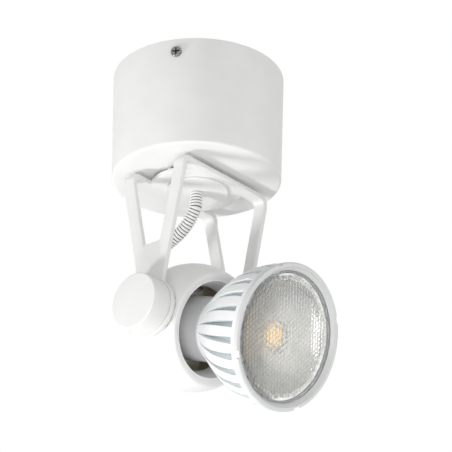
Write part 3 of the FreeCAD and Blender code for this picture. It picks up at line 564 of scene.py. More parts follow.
white_coat = surface("White powder coat", (0.80, 0.80, 0.79), (0.83, 0.83, 0.82),
                     0.48, 0.08, 2600.0, 0.000012)
white_sheet_coat = surface("White coat on sheet", (0.80, 0.80, 0.79), (0.83, 0.83, 0.82),
                           0.46, 0.08, 2900.0, 0.000010)
white_cast_coat = surface("White coat on casting", (0.81, 0.81, 0.80), (0.84, 0.84, 0.83),
                          0.44, 0.08, 2400.0, 0.000012)
white_knob_coat = surface("White coat on knob", (0.81, 0.81, 0.80), (0.83, 0.83, 0.82),
                          0.42, 0.06, 2400.0, 0.000008)
bare_casting = surface("Bare inside of casting", (0.60, 0.55, 0.42), (0.70, 0.65, 0.51),
                       0.55, 0.12, 1800.0, 0.000025, 0.35, 160.0)
sleeve_coat = surface("Grey white sleeve", (0.86, 0.86, 0.86), (0.90, 0.90, 0.90),
                      0.40, 0.08, 2200.0, 0.000008)
lamp_coat = surface("Lamp body coat", (0.84, 0.85, 0.85), (0.87, 0.88, 0.88),
                    0.38, 0.08, 2600.0, 0.000008)
# Lighter, bluish copy of the lamp body's paint for the slots: painted bluish shade and painted
# light.
slot_shade_and_light_coat = surface("Painted bluish shade and light in slots", (0.88, 0.92, 0.93), (0.91, 0.95, 0.96),
                    0.32, 0.10, 2000.0, 0.000010)
ring_coat = surface("Lamp front ring", (0.67, 0.68, 0.67), (0.71, 0.72, 0.71),
                    0.36, 0.06, 2400.0, 0.000008)
# Grey for the lens seat and the ring's throat: painted shade in the channel under the lens.
ring_throat_shade = surface("Painted shade under lens", (0.54, 0.57, 0.59), (0.60, 0.63, 0.65),
                    0.50, 0.10, 1500.0, 0.000010)
base_plastic = surface("Lamp base plastic", (0.56, 0.56, 0.57), (0.61, 0.61, 0.62),
                       0.42, 0.08, 1900.0, 0.000010)
conduit_plastic = surface("Conduit rib plastic", (0.80, 0.80, 0.79), (0.84, 0.84, 0.83),
                          0.42, 0.08, 2500.0, 0.000006)
# Dark grey for the groove faces between the ribs: painted shade in the grooves.
conduit_groove_shade = surface("Painted shade between ribs", (0.24, 0.24, 0.24), (0.30, 0.30, 0.30),
                        0.60, 0.10, 2500.0, 0.000006)
nylon = surface("White nylon", (0.74, 0.74, 0.72), (0.79, 0.79, 0.77),
                0.50, 0.08, 1800.0, 0.000010)
grey_nylon = surface("Grey nylon", (0.26, 0.26, 0.26), (0.32, 0.32, 0.32),
                     0.55, 0.08, 1800.0, 0.000010)
terminal_nylon = surface("Terminal nylon", (0.68, 0.66, 0.58), (0.74, 0.72, 0.64),
                         0.45, 0.08, 1500.0, 0.000015)
ceramic = surface("Unglazed ceramic", (0.62, 0.59, 0.52), (0.70, 0.67, 0.60),
                  0.70, 0.10, 3200.0, 0.000030)
zinc = surface("Zinc plate", (0.55, 0.56, 0.58), (0.66, 0.67, 0.69),
               0.34, 0.12, 1600.0, 0.000012, 1.0, 450.0)
passivated = surface("Yellow passivated steel", (0.58, 0.53, 0.41), (0.68, 0.63, 0.50),
                     0.45, 0.10, 1600.0, 0.000012, 0.2, 300.0)
# Plated metal made dark: painted dark reflection on the screw heads.
chrome_painted_dark = brushed("Plated screw, painted dark reflection", (0.20, 0.20, 0.21), (0.28, 0.28, 0.29),
                 0.12, (1, 1, 6), 900.0, 0.000006)
# Near black for the cross recess: painted shade.
screw_recess_shade = brushed("Shaded screw recess", (0.02, 0.02, 0.02), (0.04, 0.04, 0.04),
                       0.35, (1, 1, 6), 900.0, 0.000006)
brass = brushed("Brass", (0.62, 0.45, 0.17), (0.74, 0.56, 0.25),
                0.25, (1, 5, 1), 900.0, 0.000010)
bronze = brushed("Contact bronze", (0.55, 0.36, 0.20), (0.68, 0.47, 0.28),
                 0.25, (4, 1, 1), 900.0, 0.000010)
nickel = brushed("Nickel pin", (0.58, 0.57, 0.54), (0.70, 0.69, 0.66),
                 0.20, (1, 1, 5), 900.0, 0.000008)
mirror_coat = surface("Metallised reflector", (0.91, 0.91, 0.88), (0.95, 0.95, 0.93),
                      0.16, 0.06, 900.0, 0.000010, 0.62, 300.0)
board_mask = surface("White board", (0.86, 0.84, 0.78), (0.90, 0.88, 0.82),
                     0.45, 0.08, 1800.0, 0.000006)
phosphor = surface("Amber phosphor", (0.88, 0.49, 0.12), (0.93, 0.57, 0.17),
                   0.30, 0.08, 2000.0, 0.000010, 0.0, 900.0)
# The light source is unlit; its emission is a painted glow.
phosphor_shader = phosphor.node_tree.nodes["Principled BSDF"]
phosphor_shader.inputs["Emission Color"].default_value = phosphor_painted_glow_colour
phosphor_shader.inputs["Emission Strength"].default_value = phosphor_painted_glow
green_board = surface("Green board", (0.02, 0.12, 0.05), (0.04, 0.18, 0.08),
                      0.35, 0.08, 1500.0, 0.000010)
dark_moulding = surface("Dark moulding", (0.02, 0.02, 0.02), (0.05, 0.05, 0.05),
                        0.40, 0.10, 1500.0, 0.000012)
brown_core = surface("Brown insulation", (0.12, 0.045, 0.018), (0.16, 0.065, 0.03),
                     0.38, 0.08, 1500.0, 0.000008)
blue_core = surface("Blue insulation", (0.015, 0.08, 0.32), (0.03, 0.12, 0.40),
                    0.38, 0.08, 1500.0, 0.000008)
green_core = surface("Green insulation", (0.06, 0.22, 0.03), (0.10, 0.30, 0.05),
                     0.38, 0.08, 1500.0, 0.000008)
lens_plastic = clear_plastic("Clear lens", (0.98, 0.98, 0.97), 0.02, 1.0)
prism_plastic = clear_plastic("Clear prisms", (0.99, 0.99, 0.98), 0.12, 0.92)


# Canopy

def make_canopy():
    top, bottom = canopy_high.z, canopy_low.z
    floor_radius = canopy_bottom_radius - canopy_wall
    points = [(canopy_top_radius, top), (canopy_bottom_radius, bottom),
              (canopy_hole_radius, bottom), (canopy_hole_radius, bottom + canopy_wall),
              (floor_radius, bottom + canopy_wall), (canopy_top_radius - canopy_wall, top)]
    radii = [canopy_rim_radius, canopy_edge_radius, canopy_rim_radius, 0,
             canopy_edge_radius / 2, canopy_rim_radius]
    piece = turned("canopy_cup", profile_with_edges(points, radii, canopy_edge_steps))
    smooth(piece)
    paint(piece, white_coat)
    settle(piece, "canopy", "white_paint_canopy", "canopy_shell")


# Yoke

def bent_sheet():
    """U of sheet metal seen from the front, drawn as one band and extruded in depth."""
    foot = pivot_level - eye_radius - sheet
    low = -yoke_half_depth
    points = [(-arm_outer, low, foot), (-arm_outer, low, plate_top), (arm_outer, low, plate_top),
              (arm_outer, low, foot), (arm_inner, low, foot), (arm_inner, low, plate_bottom),
              (-arm_inner, low, plate_bottom), (-arm_inner, low, foot)]
    radii = [0, bend_radius, bend_radius, 0, 0, inner_bend_radius, inner_bend_radius, 0]
    return prism("yoke", rounded(points, radii, bend_steps), (0, 2 * yoke_half_depth, 0))


def arm_edge():
    """Half of the arm's side view: straight taper, hollow fillet, then round the eye."""
    head = Vector((yoke_half_depth, taper_top - pivot_level))
    foot = Vector((neck_half_width, neck_level - pivot_level))
    along = (head - foot).normalized()
    out = Vector((along.y, -along.x))
    # the fillet's centre lies one fillet from the straight edge and one fillet outside the eye
    offset = foot + out * eye_fillet
    middle = offset.dot(along)
    gap = math.sqrt((eye_radius + eye_fillet) ** 2 - (offset - along * middle).length ** 2)
    centre = offset + along * (gap - middle)
    start = math.degrees(math.atan2(-out.y, -out.x))
    end = math.degrees(math.atan2(-centre.y, -centre.x))
    end = start + (end - start + 180) % 360 - 180
    fillet = arc(centre, eye_fillet, start, end, fillet_steps)
    touch = math.degrees(math.atan2(centre.y, centre.x))
    eye = arc((0, 0), eye_radius, touch, -90, eye_steps)
    return [tuple(head)] + fillet + eye[1:]


def arm_side_outline():
    """Tapering arm with its round eye, seen from the side."""
    edge = [(y, pivot_level + z) for y, z in arm_edge()]
    top = plate_top + sheet
    wide = yoke_half_depth + sheet
    half = [(wide, top), (wide, taper_top)] + edge
    outline = half + [(-y, z) for y, z in reversed(half[:-1])]
    reach = arm_outer + sheet
    return prism("taper", [(-reach, y, z) for y, z in outline], (2 * reach, 0, 0))


def window_cutter():
    """Trapezoid through both arms, up to where the plate's window goes on over the bends."""
    reach = arm_outer + sheet
    top = taper_top
    points = [(-reach, window_half_width, top), (-reach, window_foot_half_width, window_foot),
              (-reach, -window_foot_half_width, window_foot), (-reach, -window_half_width, top)]
    outline = rounded(points, [0, window_corner, window_corner, 0])
    return prism("window", outline, (2 * reach, 0, 0))


def plate_window_cutter(side):
    """The same window where it goes on in the top plate, as far as an arc round the hub."""
    start = math.degrees(math.asin(window_half_width / plate_window_radius))
    bottom = taper_top
    curve = arc((0, 0), plate_window_radius, start, -start, plate_window_steps)
    points = [(side * x, y, bottom) for x, y in curve]
    points += [(side * (arm_outer + sheet), -window_half_width, bottom),
               (side * (arm_outer + sheet), window_half_width, bottom)]
    return prism("plate_window", points, (0, 0, plate_top + sheet - bottom))


def round_cutter(radius, low, high):
    outline = [(x, y, low) for x, y in arc((0, 0), radius, 0, 360, hole_steps)[:-1]]
    return prism("hole", outline, (0, 0, high - low))


def make_yoke():
    piece = bent_sheet()
    carve(piece, arm_side_outline(), "INTERSECT")
    carve(piece, window_cutter())
    for side in (-1, 1):
        carve(piece, plate_window_cutter(side))
    carve(piece, round_cutter(hub_hole_radius, plate_bottom - sheet, plate_top + sheet))
    pivot = round_cutter(pivot_hole_radius, -arm_outer - sheet, arm_outer + sheet)
    across = Matrix.Rotation(math.pi / 2, 4, "Y")
    pivot.data.transform(Matrix.Translation((0, 0, pivot_level)) @ across)
    carve(piece, pivot)
    soften(piece, yoke_edge)
    smooth(piece)
    paint(piece, white_sheet_coat)
    settle(piece, "yoke", "white_paint_yoke", "yoke_bracket")


# Knobs

def make_knob(name, side):
    points = [(0, knob_face), (knob_radius, knob_face), (knob_radius, knob_base),
              (knob_recess_radius, knob_base), (knob_recess_radius, knob_base + knob_recess_depth),
              (knob_bore_radius, knob_base + knob_recess_depth),
              (knob_bore_radius, knob_base + knob_bore_depth), (0, knob_base + knob_bore_depth)]
    radii = [0, knob_edge, knob_edge / 2, knob_edge / 3, 0, 0, 0, 0]
    piece = turned("knob_cap_" + name, profile_with_edges(points, radii), closed=False)
    turn = Matrix.Rotation(side * math.pi / 2, 4, "Y")
    piece.data.transform(Matrix.Translation((0, 0, pivot_level)) @ turn)
    smooth(piece)
    paint(piece, white_knob_coat)
    settle(piece, "knob_" + name, "white_knob", "knob_" + name)


# Head

def cut_flat(piece, side):
    """Slice the ball off square to the tilt axis and close the cut."""
    edit(piece)
    bpy.ops.mesh.bisect(plane_co=(side * ball_flat, 0, 0), plane_no=(side, 0, 0),
                        use_fill=True, clear_outer=True)
    bpy.ops.object.mode_set(mode="OBJECT")


def ball_profile():
    """Outer arc from the gland's hole to the mouth, flat rim, lip, and inner arc back."""
    rear = math.degrees(math.asin(rear_hole_radius / ball_radius)) - 90
    rim = math.degrees(math.asin(mouth_distance / ball_radius))
    rim_radius = math.sqrt(ball_radius ** 2 - mouth_distance ** 2)
    lip_floor = mouth_distance - mouth_lip_depth
    inner_mouth = math.degrees(math.asin(lip_floor / ball_inner_radius))
    inner_rear = math.degrees(math.asin(rear_hole_radius / ball_inner_radius)) - 90
    # the arc stops a little short of the rim, which gets a small round
    outer = arc((0, 0), ball_radius, rear, rim - mouth_edge_stop, ball_outer_steps)
    step_in = mouth_edge * mouth_edge_in_share
    rim_round = [(rim_radius - step_in, mouth_distance - step_in * mouth_edge_down_share),
                 (rim_radius - mouth_edge, mouth_distance)]
    lip = [(mouth_lip_radius + mouth_dish_width, mouth_distance),
           (mouth_lip_radius, mouth_distance - mouth_dish_depth), (mouth_lip_radius, lip_floor)]
    inner = arc((0, 0), ball_inner_radius, inner_mouth, inner_rear, ball_inner_steps)
    return outer + rim_round + lip + inner


def make_ball():
    """Hollow ball with flat sides and a boss inside each; its inside is bare metal."""
    piece = turned("head_ball", ball_profile())
    for side in (-1, 1):
        cut_flat(piece, side)
    bosses = []
    for side in (-1, 1):
        boss = turned("boss", [(pivot_hole_radius, boss_face), (boss_radius, boss_face),
                               (boss_radius, ball_inner_radius - collar_wall),
                               (pivot_hole_radius, ball_inner_radius - collar_wall)], small_steps)
        boss.data.transform(Matrix.Rotation(side * math.pi / 2, 4, "Y"))
        bosses.append(boss)
    piece = joined([piece] + bosses)
    limit = (ball_inner_radius + ball_radius) / 2

    def bare(face):
        outside_lip = face.center.z < mouth_distance - mouth_lip_depth + collar_wall
        return face.center.length < limit and outside_lip

    smooth(piece)
    paint(piece, white_cast_coat, bare_casting, bare)
    settle_in_head(piece, "head", "white_cast_head", "ball_shell")


def make_collar():
    """Tapered sleeve in the mouth, with a step that sits in the lip."""
    throat = mouth_distance - collar_depth
    front = mouth_distance - mouth_dish_depth
    lip_floor = mouth_distance - mouth_lip_depth
    slope = (collar_mouth_radius - collar_throat_radius) / (front - throat)
    lip_inner = collar_mouth_radius - slope * (front - lip_floor)
    points = [(collar_mouth_radius, front), (mouth_lip_radius, front),
              (mouth_lip_radius, lip_floor), (lip_inner + collar_wall, lip_floor),
              (collar_throat_radius + collar_wall, throat), (collar_throat_radius, throat)]
    radii = [collar_edge, 0, 0, 0, 0, collar_edge]
    piece = turned("mouth_sleeve", profile_with_edges(points, radii, collar_edge_steps))
    smooth(piece)
    paint(piece, sleeve_coat)
    settle_in_head(piece, "head", "white_sleeve", "mouth_collar")


# Lamp

def sink_outline():
    """Bulging side of the lamp body from tail to collar, smoothed between its named points."""
    length = ring_back - sink_collar_length - tail_distance
    growth = sink_collar_radius - tail_radius
    points = [(tail_radius + growth * out, tail_distance + length * along)
              for along, out in zip(bulge_length_shares, bulge_radius_shares)]
    return smooth_line(points, bulge_parts)


def smooth_line(points, parts):
    """Line through points with tangents from their neighbours."""
    ends = [points[0]] + list(points) + [points[-1]]
    line = []
    for a, b, c, d in zip(ends, ends[1:], ends[2:], ends[3:]):
        for part in range(parts):
            t = part / parts
            line.append(tuple(0.5 * (2 * q + (r - p) * t + (2 * p - 5 * q + 4 * r - s) * t ** 2
                                     + (3 * q - p - 3 * r + s) * t ** 3)
                              for p, q, r, s in zip(a, b, c, d)))
    line.append(tuple(points[-1]))
    return line


def slot_cutters():
    """One wedge, wide and deep at the front, copied round the lamp."""
    deselect()
    bpy.ops.mesh.primitive_cube_add(size=2)
    wedge = bpy.context.object
    for vertex in wedge.data.vertices:
        front = vertex.co.z > 0
        floor = slot_front_floor if front else slot_tail_floor
        half = slot_half_width if front else slot_tail_half_width
        radius = floor if vertex.co.x < 0 else floor + slot_reach
        vertex.co = (radius, half if vertex.co.y > 0 else -half, slot_front if front else slot_tail)
    step = 2 * math.pi / slot_count
    wedges = []
    for index in range(slot_count):
        other = copied(wedge)
        other.data.transform(Matrix.Rotation(step * (index + slot_phase_share), 4, "Z"))
        wedges.append(other)
    bpy.data.objects.remove(wedge)
    return joined(wedges)


def make_lamp_body():
    """Finned body: a bulging turned shape with slots; the slots get a lighter, bluish copy of its
    paint, painted light and shade.
    """
    profile = [(0, tail_distance)] + sink_outline()
    profile += [(sink_collar_radius, ring_back), (sink_cavity_radius, ring_back),
                (sink_cavity_radius, sink_cavity_floor), (0, sink_cavity_floor)]
    piece = turned("lamp_body", profile, lamp_steps, closed=False)
    carve(piece, slot_cutters())

    # Slot floors and flanks take the painted light and bluish shade.
    def in_slot(face):
        centre, normal = face.center, face.normal
        if not slot_tail - sheet < centre.z < slot_front + weld_distance:
            return False
        outward = Vector((centre.x, centre.y, 0)).normalized()
        flank = abs(normal.dot(Vector((-outward.y, outward.x, 0)))) > slot_flank_share
        deep = centre.xy.length < outer_radius_at(centre.z) - slot_skin
        return deep or flank

    smooth(piece)
    paint(piece, lamp_coat, slot_shade_and_light_coat, in_slot)
    settle_in_head(piece, "lamp", "white_lamp_metal", "lamp_heatsink")


def outer_radius_at(height):
    """Radius of the lamp body's outline at a distance along the lamp."""
    outline = sink_outline()
    for (low_radius, low), (high_radius, high) in zip(outline, outline[1:]):
        if low <= height <= high:
            return low_radius + (high_radius - low_radius) * (height - low) / (high - low)
    return sink_collar_radius


def make_lamp_ring():
    """Front ring: lip, fine groove, bevel to the lens, and four grip notches."""
    groove = ring_groove_half_width
    lip_back = lamp_front - ring_lip_depth
    points = [(sink_collar_radius, ring_back), (sink_collar_radius, lip_back),
              (lamp_radius, lip_back), (lamp_radius, lamp_front),
              (ring_groove_radius + groove, lamp_front),
              (ring_groove_radius, lamp_front - ring_groove_depth),
              (ring_bevel_start, lamp_front - ring_groove_depth / 2),
              (ring_bore, ring_seat + lens_thickness), (ring_bore, ring_seat),
              (ring_throat, ring_seat), (ring_throat, ring_back)]
    radii = [0, 0, ring_edge / 4, ring_edge, ring_groove_edge, 0, ring_groove_edge, 0, 0, 0, 0]
    piece = turned("lamp_front_ring", profile_with_edges(points, radii))
    outside = lamp_radius + sheet
    corners = [(notch_floor_radius, -notch_half_width), (outside, -notch_half_width),
               (outside, notch_half_width), (notch_floor_radius, notch_half_width)]
    cutters = []
    for index in range(notch_count):
        notch = prism("notch", [(x, y, ring_back - sheet) for x, y in corners],
                      (0, 0, lamp_front - ring_back + 2 * sheet))
        turn = notch_angle + index * 2 * math.pi / notch_count
        notch.data.transform(Matrix.Rotation(turn, 4, "Z"))
        cutters.append(notch)
    carve(piece, joined(cutters))

    # Seat and throat faces under the lens take the grey, painted shade.
    def throat_shade_face(face):
        inside = face.center.xy.length < ring_bore - weld_distance
        return inside and face.center.z < ring_seat + weld_distance

    smooth(piece)
    paint(piece, ring_coat, ring_throat_shade, throat_shade_face)
    piece.data.materials.append(lamp_coat)
    for face in piece.data.polygons:
        behind_lip = face.center.z < lip_back + weld_distance
        if behind_lip and face.center.xy.length > notch_floor_radius:
            face.material_index = 2
    settle_in_head(piece, "lamp", "white_lamp_metal", "lamp_ring")


def prism_cell():
    """One small lens of the pattern: a hexagon raised in three steps to a soft dome."""
    deselect()
    bpy.ops.mesh.primitive_circle_add(vertices=6, radius=prism_pitch / math.sqrt(3),
                                      fill_type="NGON")
    cell = bpy.context.object
    bpy.ops.object.mode_set(mode="EDIT")
    bpy.ops.mesh.select_all(action="SELECT")
    for share in prism_step_shares:
        bpy.ops.mesh.inset(thickness=prism_pitch * prism_inset_share)
        bpy.ops.transform.translate(value=(0, 0, -prism_height * share))
    bpy.ops.mesh.poke(offset=-prism_height * prism_tip_share)
    bpy.ops.object.mode_set(mode="OBJECT")
    return cell


def prism_sheet():
    """Domes in a honeycomb inside a circle, closed by a flat back."""
    sheet_piece = prism_cell()
    row_step = prism_pitch * math.sqrt(3) / 2
    half_rows = 2 * math.ceil(prism_reach / row_step / 2)
    columns = 3 * half_rows
    repeat(sheet_piece, "row", columns, (prism_pitch, 0, 0))
    repeat(sheet_piece, "rows", 2 * half_rows + 1, (prism_pitch / 2, row_step, 0))
    apply_modifiers(sheet_piece)
    middle = Vector((prism_pitch * 2 * half_rows, row_step * half_rows, 0))
    sheet_piece.data.transform(Matrix.Translation(-middle))
    edit(sheet_piece)
    bpy.ops.mesh.remove_doubles(threshold=prism_weld)
    bpy.ops.mesh.select_all(action="DESELECT")
    bpy.ops.object.mode_set(mode="OBJECT")
    for face in sheet_piece.data.polygons:
        place = face.center.xy
        row = round(place.y / row_step)
        start = row * prism_pitch / 2
        column = round((place.x - start) / prism_pitch)
        centre = Vector((start + column * prism_pitch, row * row_step))
        face.select = centre.length > prism_reach - prism_pitch / 2
    pick(sheet_piece)
    bpy.ops.object.mode_set(mode="EDIT")
    bpy.ops.mesh.delete(type="FACE")
    bpy.ops.mesh.select_all(action="DESELECT")
    bpy.ops.mesh.select_non_manifold()
    bpy.ops.mesh.extrude_edges_move(TRANSFORM_OT_translate={"value": (0, 0, prism_thickness)})
    bpy.ops.mesh.edge_face_add()
    tidy_mesh()
    return sheet_piece


def make_lens():
    """Clear disc, and behind it the sheet of domes a hair away."""
    front = ring_seat + lens_thickness
    cover = turned("lens_cover", profile_with_edges(
        [(0, front), (lens_radius, front), (lens_radius, ring_seat), (0, ring_seat)],
        [0, lens_edge, lens_edge, 0], lens_edge_steps), closed=False)
    prisms = prism_sheet()
    prisms.name = "lens_prisms"
    turn = Matrix.Rotation(prism_turn, 4, "Z")
    depth = ring_seat - prism_gap - prism_thickness
    prisms.data.transform(Matrix.Translation((0, 0, depth)) @ turn)
    smooth(cover)
    smooth(prisms, prism_smooth_angle)
    paint(cover, lens_plastic)
    paint(prisms, prism_plastic)
    settle_in_head(cover, "lamp", "lens_clear", "lamp_lens")
    settle_in_head(prisms, "lamp", "lens_clear")


def make_reflector():
    """Bowl that opens like a parabola from the light source to the lens."""
    deep = reflector_rim - reflector_floor
    span = reflector_mouth - reflector_throat
    shares = [step / reflector_steps for step in range(reflector_steps + 1)]
    inner = [(reflector_throat + span * share, reflector_floor + deep * share ** reflector_curve)
             for share in shares]
    outer = [(radius + reflector_wall, height - reflector_wall)
             for radius, height in reversed(inner)]
    outer[-1] = (reflector_throat + reflector_wall, reflector_floor)
    flange = [(reflector_flange, reflector_rim), (reflector_flange, reflector_rim - reflector_wall)]
    piece = turned("reflector_bowl", inner + flange + outer)
    smooth(piece)
    paint(piece, mirror_coat)
    settle_in_head(piece, "lamp", "reflector_silver", "lamp_reflector")


def make_light_source():
    """White board with one low amber dome on it."""
    board = turned("led_disc", profile_with_edges(
        [(0, board_face), (board_radius, board_face),
         (board_radius, board_floor), (0, board_floor)],
        [0, board_edge, board_edge, 0], board_edge_steps), closed=False)
    top = board_face + led_height
    dome = turned("led_dome", profile_with_edges(
        [(0, top), (led_radius, top), (led_radius, board_face), (0, board_face)],
        [0, led_height * led_edge_share, 0, 0]), closed=False)
    for piece, material, slot, node in ((board, board_mask, "board_white", "led_board"),
                                        (dome, phosphor, "led_amber", "led")):
        smooth(piece)
        paint(piece, material)
        settle_in_head(piece, "lamp", slot, node)


def make_lamp_base():
    points = [(0, base_rear), (base_radius, base_rear),
              (base_radius, tail_distance), (0, tail_distance)]
    profile = profile_with_edges(points, [0, base_edge, base_front_edge, 0])
    piece = turned("lamp_neck", profile, closed=False)
    smooth(piece)
    paint(piece, base_plastic)
    settle_in_head(piece, "lamp", "lamp_plastic", "lamp_base")


# Conduit and the cores in it

def route_curve(name, route):
    """Smooth line near the route's points, from its first to its last."""
    curve = bpy.data.curves.new(name, "CURVE")
    curve.dimensions = "3D"
    curve.resolution_u = route_steps
    spline = curve.splines.new("NURBS")
    spline.points.add(len(route) - 1)
    for point, place in zip(spline.points, route):
        point.co = (*place, 1)
    spline.order_u = route_order
    spline.use_endpoint_u = True
    line = bpy.data.objects.new(name, curve)
    add_to_scene(line)
    bpy.context.view_layer.update()
    return line, spline.calc_length()


def rib_unit(pitch):
    """One rib with the groove's halves beside it, and its stretch of bore."""
    shares = [(rib_root, 0), (rib_root, 0.08), (rib_flank, 0.13), (rib_brow, 0.22),
              (rib_crest, 0.37), (rib_crest, 0.63), (rib_brow, 0.78), (rib_flank, 0.87),
              (rib_root, 0.92), (rib_root, 1)]
    side = [(radius, share * pitch) for radius, share in shares]
    outer = turned("rib", side, conduit_sides, closed=False)
    bore = turned("bore", [(conduit_bore, pitch), (conduit_bore, 0)], conduit_sides, closed=False)
    edit(bore)
    bpy.ops.mesh.flip_normals()
    bpy.ops.object.mode_set(mode="OBJECT")
    return joined([outer, bore])


def close_end(piece, level):
    """Join the outer and the bore's rim at one end."""
    edit(piece)
    bpy.ops.mesh.select_all(action="DESELECT")
    bpy.ops.object.mode_set(mode="OBJECT")
    vertices = piece.data.vertices
    for edge in piece.data.edges:
        heights = [vertices[index].co.z for index in edge.vertices]
        edge.select = all(abs(height - level) < weld_distance for height in heights)
    pick(piece)
    bpy.ops.object.mode_set(mode="EDIT")
    bpy.ops.mesh.bridge_edge_loops()
    tidy_mesh()


def bend_along(piece, line):
    """Lay a straight piece along a line, and throw the line away."""
    modifier = piece.modifiers.new("bend", "CURVE")
    modifier.object = line
    modifier.deform_axis = "POS_Z"
    apply_modifiers(piece)
    bpy.data.objects.remove(line)


def make_conduit():
    """Ribs one after another, closed at both ends and bent along the route."""
    line, length = route_curve("conduit_line", conduit_route)
    count = round(length / rib_pitch)
    piece = rib_unit(length / count)
    ribs = repeat(piece, "ribs", count, (0, 0, length / count))
    ribs.use_merge_vertices = True
    ribs.merge_threshold = weld_distance
    apply_modifiers(piece)
    for level in (0, length):
        close_end(piece, level)

    # Groove faces take the dark grey, painted shade between the ribs.
    def groove(face):
        return math.hypot(face.center.x, face.center.y) < (rib_root + rib_flank) / 2

    paint(piece, conduit_plastic, conduit_groove_shade, groove)
    bend_along(piece, line)
    piece.name = "ribbed_conduit"
    smooth(piece, ribbed_smooth_angle)
    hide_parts("flex_conduit")
    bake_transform(piece)


def make_inner_core(name, material, node, index):
    """Insulated core through hollow bolt, conduit and gland, bending with the conduit."""
    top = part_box(node)[1].z
    route = [(0, 0, top), (0, 0, (top + hub_level) / 2)] + conduit_route
    route.append(behind_pivot(holder_pocket))
    line, length = route_curve("core_line", route)
    piece = turned(name, [(0, 0), (core_radius, 0), (core_radius, length), (0, length)],
                   core_sides, closed=False)
    edit(piece)
    for step in range(1, core_steps):
        bpy.ops.mesh.select_all(action="SELECT")
        bpy.ops.mesh.bisect(plane_co=(0, 0, length * step / core_steps), plane_no=(0, 0, 1))
    bpy.ops.object.mode_set(mode="OBJECT")
    angle = math.radians(core_first_angle + core_spacing_angle * index)
    piece.data.transform(Matrix.Translation((core_circle_radius * math.cos(angle),
                                             core_circle_radius * math.sin(angle), 0)))
    bend_along(piece, line)
    smooth(piece, ribbed_smooth_angle)
    paint(piece, material)
    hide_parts(node)
    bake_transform(piece)


# Finishes of the pieces whose CAD shape is already right

kept_finishes = {
    "ceiling_plate": zinc, "canopy_stop_stud": zinc, "swivel_bush": nylon,
    "terminal_block": terminal_nylon, "terminal_tubes": brass, "terminal_screws": zinc,
    "terminal_block_screw": zinc, "earth_ring_terminal": brass, "earth_screw": brass,
    "live_lead": brown_core, "neutral_lead": blue_core, "earth_lead": green_core,
    "yoke_stop_pin": zinc, "swivel_washer": zinc, "swivel_spring_washer": zinc,
    "swivel_nut": zinc, "friction_washers": grey_nylon, "knob_stud_left": zinc,
    "knob_stud_right": zinc, "knob_spring_left": zinc, "knob_spring_right": zinc,
    "pivot_inserts": brass, "lampholder": ceramic, "lampholder_contacts": bronze,
    "lampholder_screws": zinc, "holder_bracket": passivated, "gland_nut": zinc,
    "lamp_pins": nickel, "driver_board": green_board, "driver_components": dark_moulding,
}

# CAD pieces that show closely: a welded copy with smooth shading stands for each
refined_finishes = {
    "swivel_bolt": ("yoke", white_sheet_coat, "white_paint_yoke"),
    "conduit_gland": ("head", conduit_plastic, "conduit_white"),
}


def finish_kept_nodes():
    for name, material in kept_finishes.items():
        node = frame["nodes"][name]
        node.data.materials.clear()
        node.data.materials.append(material)


def refined_copy(name):
    """Free copy of a CAD node, welded and smooth."""
    piece = copied(frame["nodes"][name])
    for key in list(piece.keys()):
        del piece[key]
    piece.parent = None
    piece.name = name + "_fine"
    edit(piece)
    tidy_mesh()
    smooth(piece)
    return piece


def refine_nodes():
    for name, (body, material, slot) in refined_finishes.items():
        piece = refined_copy(name)
        paint(piece, material)
        settle(piece, body, slot, name)


def make_side_screws():
    """Plated heads in line across the canopy; their metal is darkened as a painted dark reflection,
    and the cross recess is near black, painted shade.
    """
    piece = refined_copy("canopy_side_screws")
    low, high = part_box("canopy_side_screws")
    level = (low.z + high.z) / 2
    across = Vector((math.cos(screw_azimuth), math.sin(screw_azimuth), 0))
    head_top = max(vertex.co.dot(across) for vertex in piece.data.vertices)

    # Faces in the cross recess take the near black, painted shade.
    def recess(face):
        reach = abs(face.center.dot(across))
        aside = (face.center - Vector((0, 0, level))).cross(across).length
        depth = head_top - reach
        return screw_face_skin < depth < screw_cross_depth and aside < screw_cross_reach

    paint(piece, chrome_painted_dark, screw_recess_shade, recess)
    settle(piece, "canopy", "chrome_screw", "canopy_side_screws")


# Studio

# The camera looks at the light from below, and a little to the right of and above its middle
camera_place = Vector((-0.5092, -0.4551, -0.3850))
camera_look = Vector((0.679, 0.607, 0.413))
camera_right = Vector((0.660, -0.751, 0.019))
camera_up = Vector((-0.322, -0.260, 0.910))
camera_shift_right = 0.0148
camera_shift_up = 0.0197
camera_lens = 169.6
camera_sensor = 36
camera_clip = 0.01
world_light = 0.54
floor_colour = (0.86, 0.86, 0.86, 1)
floor_roughness = 0.9
floor_glow = 0.4
floor_level = -1.3
floor_size = 8.0
white = (1, 1, 1, 1)

# Name, place, size and power of each light; all aim at the middle of the object
light_aim = Vector((0, 0, -0.08))
studio_lights = [
    ("key", (-0.775, 0.625, -0.83), 0.2, 8.6),
    ("fill", (-0.76, -0.88, -0.70), 0.5, 3.2),
    ("front", (0.60, -1.14, -0.24), 1.6, 3.3),
    ("below", (-0.45, -0.23, -0.94), 0.4, 2.2),
]


def make_camera():
    data = bpy.data.cameras.new("camera")
    data.lens = camera_lens
    data.sensor_width = camera_sensor
    data.clip_start = camera_clip
    camera = bpy.data.objects.new("camera", data)
    add_to_scene(camera)
    aim = camera_look + camera_right * camera_shift_right + camera_up * camera_shift_up
    back = -aim.normalized()
    right = camera_up.cross(back).normalized()
    up = back.cross(right)
    turn = Matrix((right, up, back)).transposed()
    camera.matrix_world = Matrix.Translation(camera_place) @ turn.to_4x4()
    bpy.context.scene.camera = camera


def area_light(name, place, size, power):
    data = bpy.data.lights.new(name, "AREA")
    data.shape = "SQUARE"
    data.size = size
    data.energy = power
    light = bpy.data.objects.new(name, data)
    add_to_scene(light)
    light.location = place
    aim = light_aim - Vector(place)
    light.rotation_euler = aim.to_track_quat("-Z", "Y").to_euler()
    light.visible_camera = False


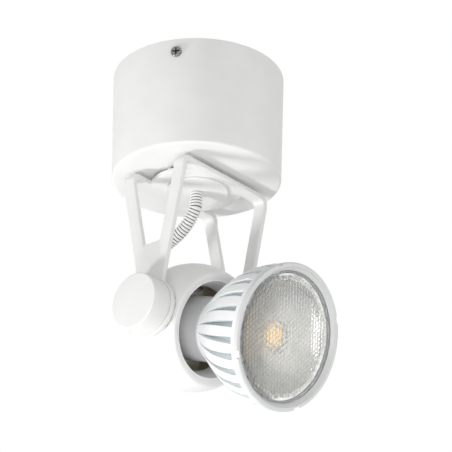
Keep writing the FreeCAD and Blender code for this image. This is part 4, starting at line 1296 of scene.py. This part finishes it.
def looked_at(nodes, links):
    """1 where the camera, gloss or glass look, and 0 for the light on the object."""
    rays = nodes.new("ShaderNodeLightPath")
    total = rays.outputs["Is Camera Ray"]
    for kind in ("Is Transmission Ray", "Is Glossy Ray"):
        both = nodes.new("ShaderNodeMath")
        both.operation = "ADD"
        both.use_clamp = True
        links.new(total, both.inputs[0])
        links.new(rays.outputs[kind], both.inputs[1])
        total = both.outputs[0]
    return total


def make_world():
    """Soft light on the object, and plain white where the camera, gloss or glass look."""
    world = bpy.data.worlds.new("studio")
    bpy.context.scene.world = world
    world.use_nodes = True
    nodes, links = world.node_tree.nodes, world.node_tree.links
    background = nodes["Background"]
    background.inputs["Color"].default_value = white
    strength = scaled(nodes, links, looked_at(nodes, links), world_light, 1.0)
    links.new(strength, background.inputs["Strength"])


def make_floor():
    """Pale floor far below, which glows a little where it is looked at."""
    deselect()
    bpy.ops.mesh.primitive_plane_add(size=floor_size, location=(0, 0, floor_level))
    floor = bpy.context.object
    floor.name = "studio_floor"
    material, nodes, links, shader = new_material("Pale floor")
    shader.inputs["Base Color"].default_value = floor_colour
    shader.inputs["Roughness"].default_value = floor_roughness
    shader.inputs["Emission Color"].default_value = white
    glow = scaled(nodes, links, looked_at(nodes, links), 0.0, floor_glow)
    links.new(glow, shader.inputs["Emission Strength"])
    paint(floor, material)


def make_studio():
    make_camera()
    make_world()
    make_floor()
    for name, place, size, power in studio_lights:
        area_light(name, place, size, power)
    bpy.context.scene.view_settings.view_transform = "Standard"


def main():
    make_canopy()
    make_yoke()
    make_knob("left", -1)
    make_knob("right", 1)
    make_ball()
    make_collar()
    make_lamp_body()
    make_lamp_ring()
    make_lens()
    make_reflector()
    make_light_source()
    make_lamp_base()
    make_conduit()
    make_inner_core("live_core_inner", brown_core, "head_live_lead", 0)
    make_inner_core("earth_core_inner", green_core, "head_earth_lead", 1)
    make_inner_core("neutral_core_inner", blue_core, "head_neutral_lead", 2)
    finish_kept_nodes()
    refine_nodes()
    make_side_screws()
    make_studio()


main()
deselect()
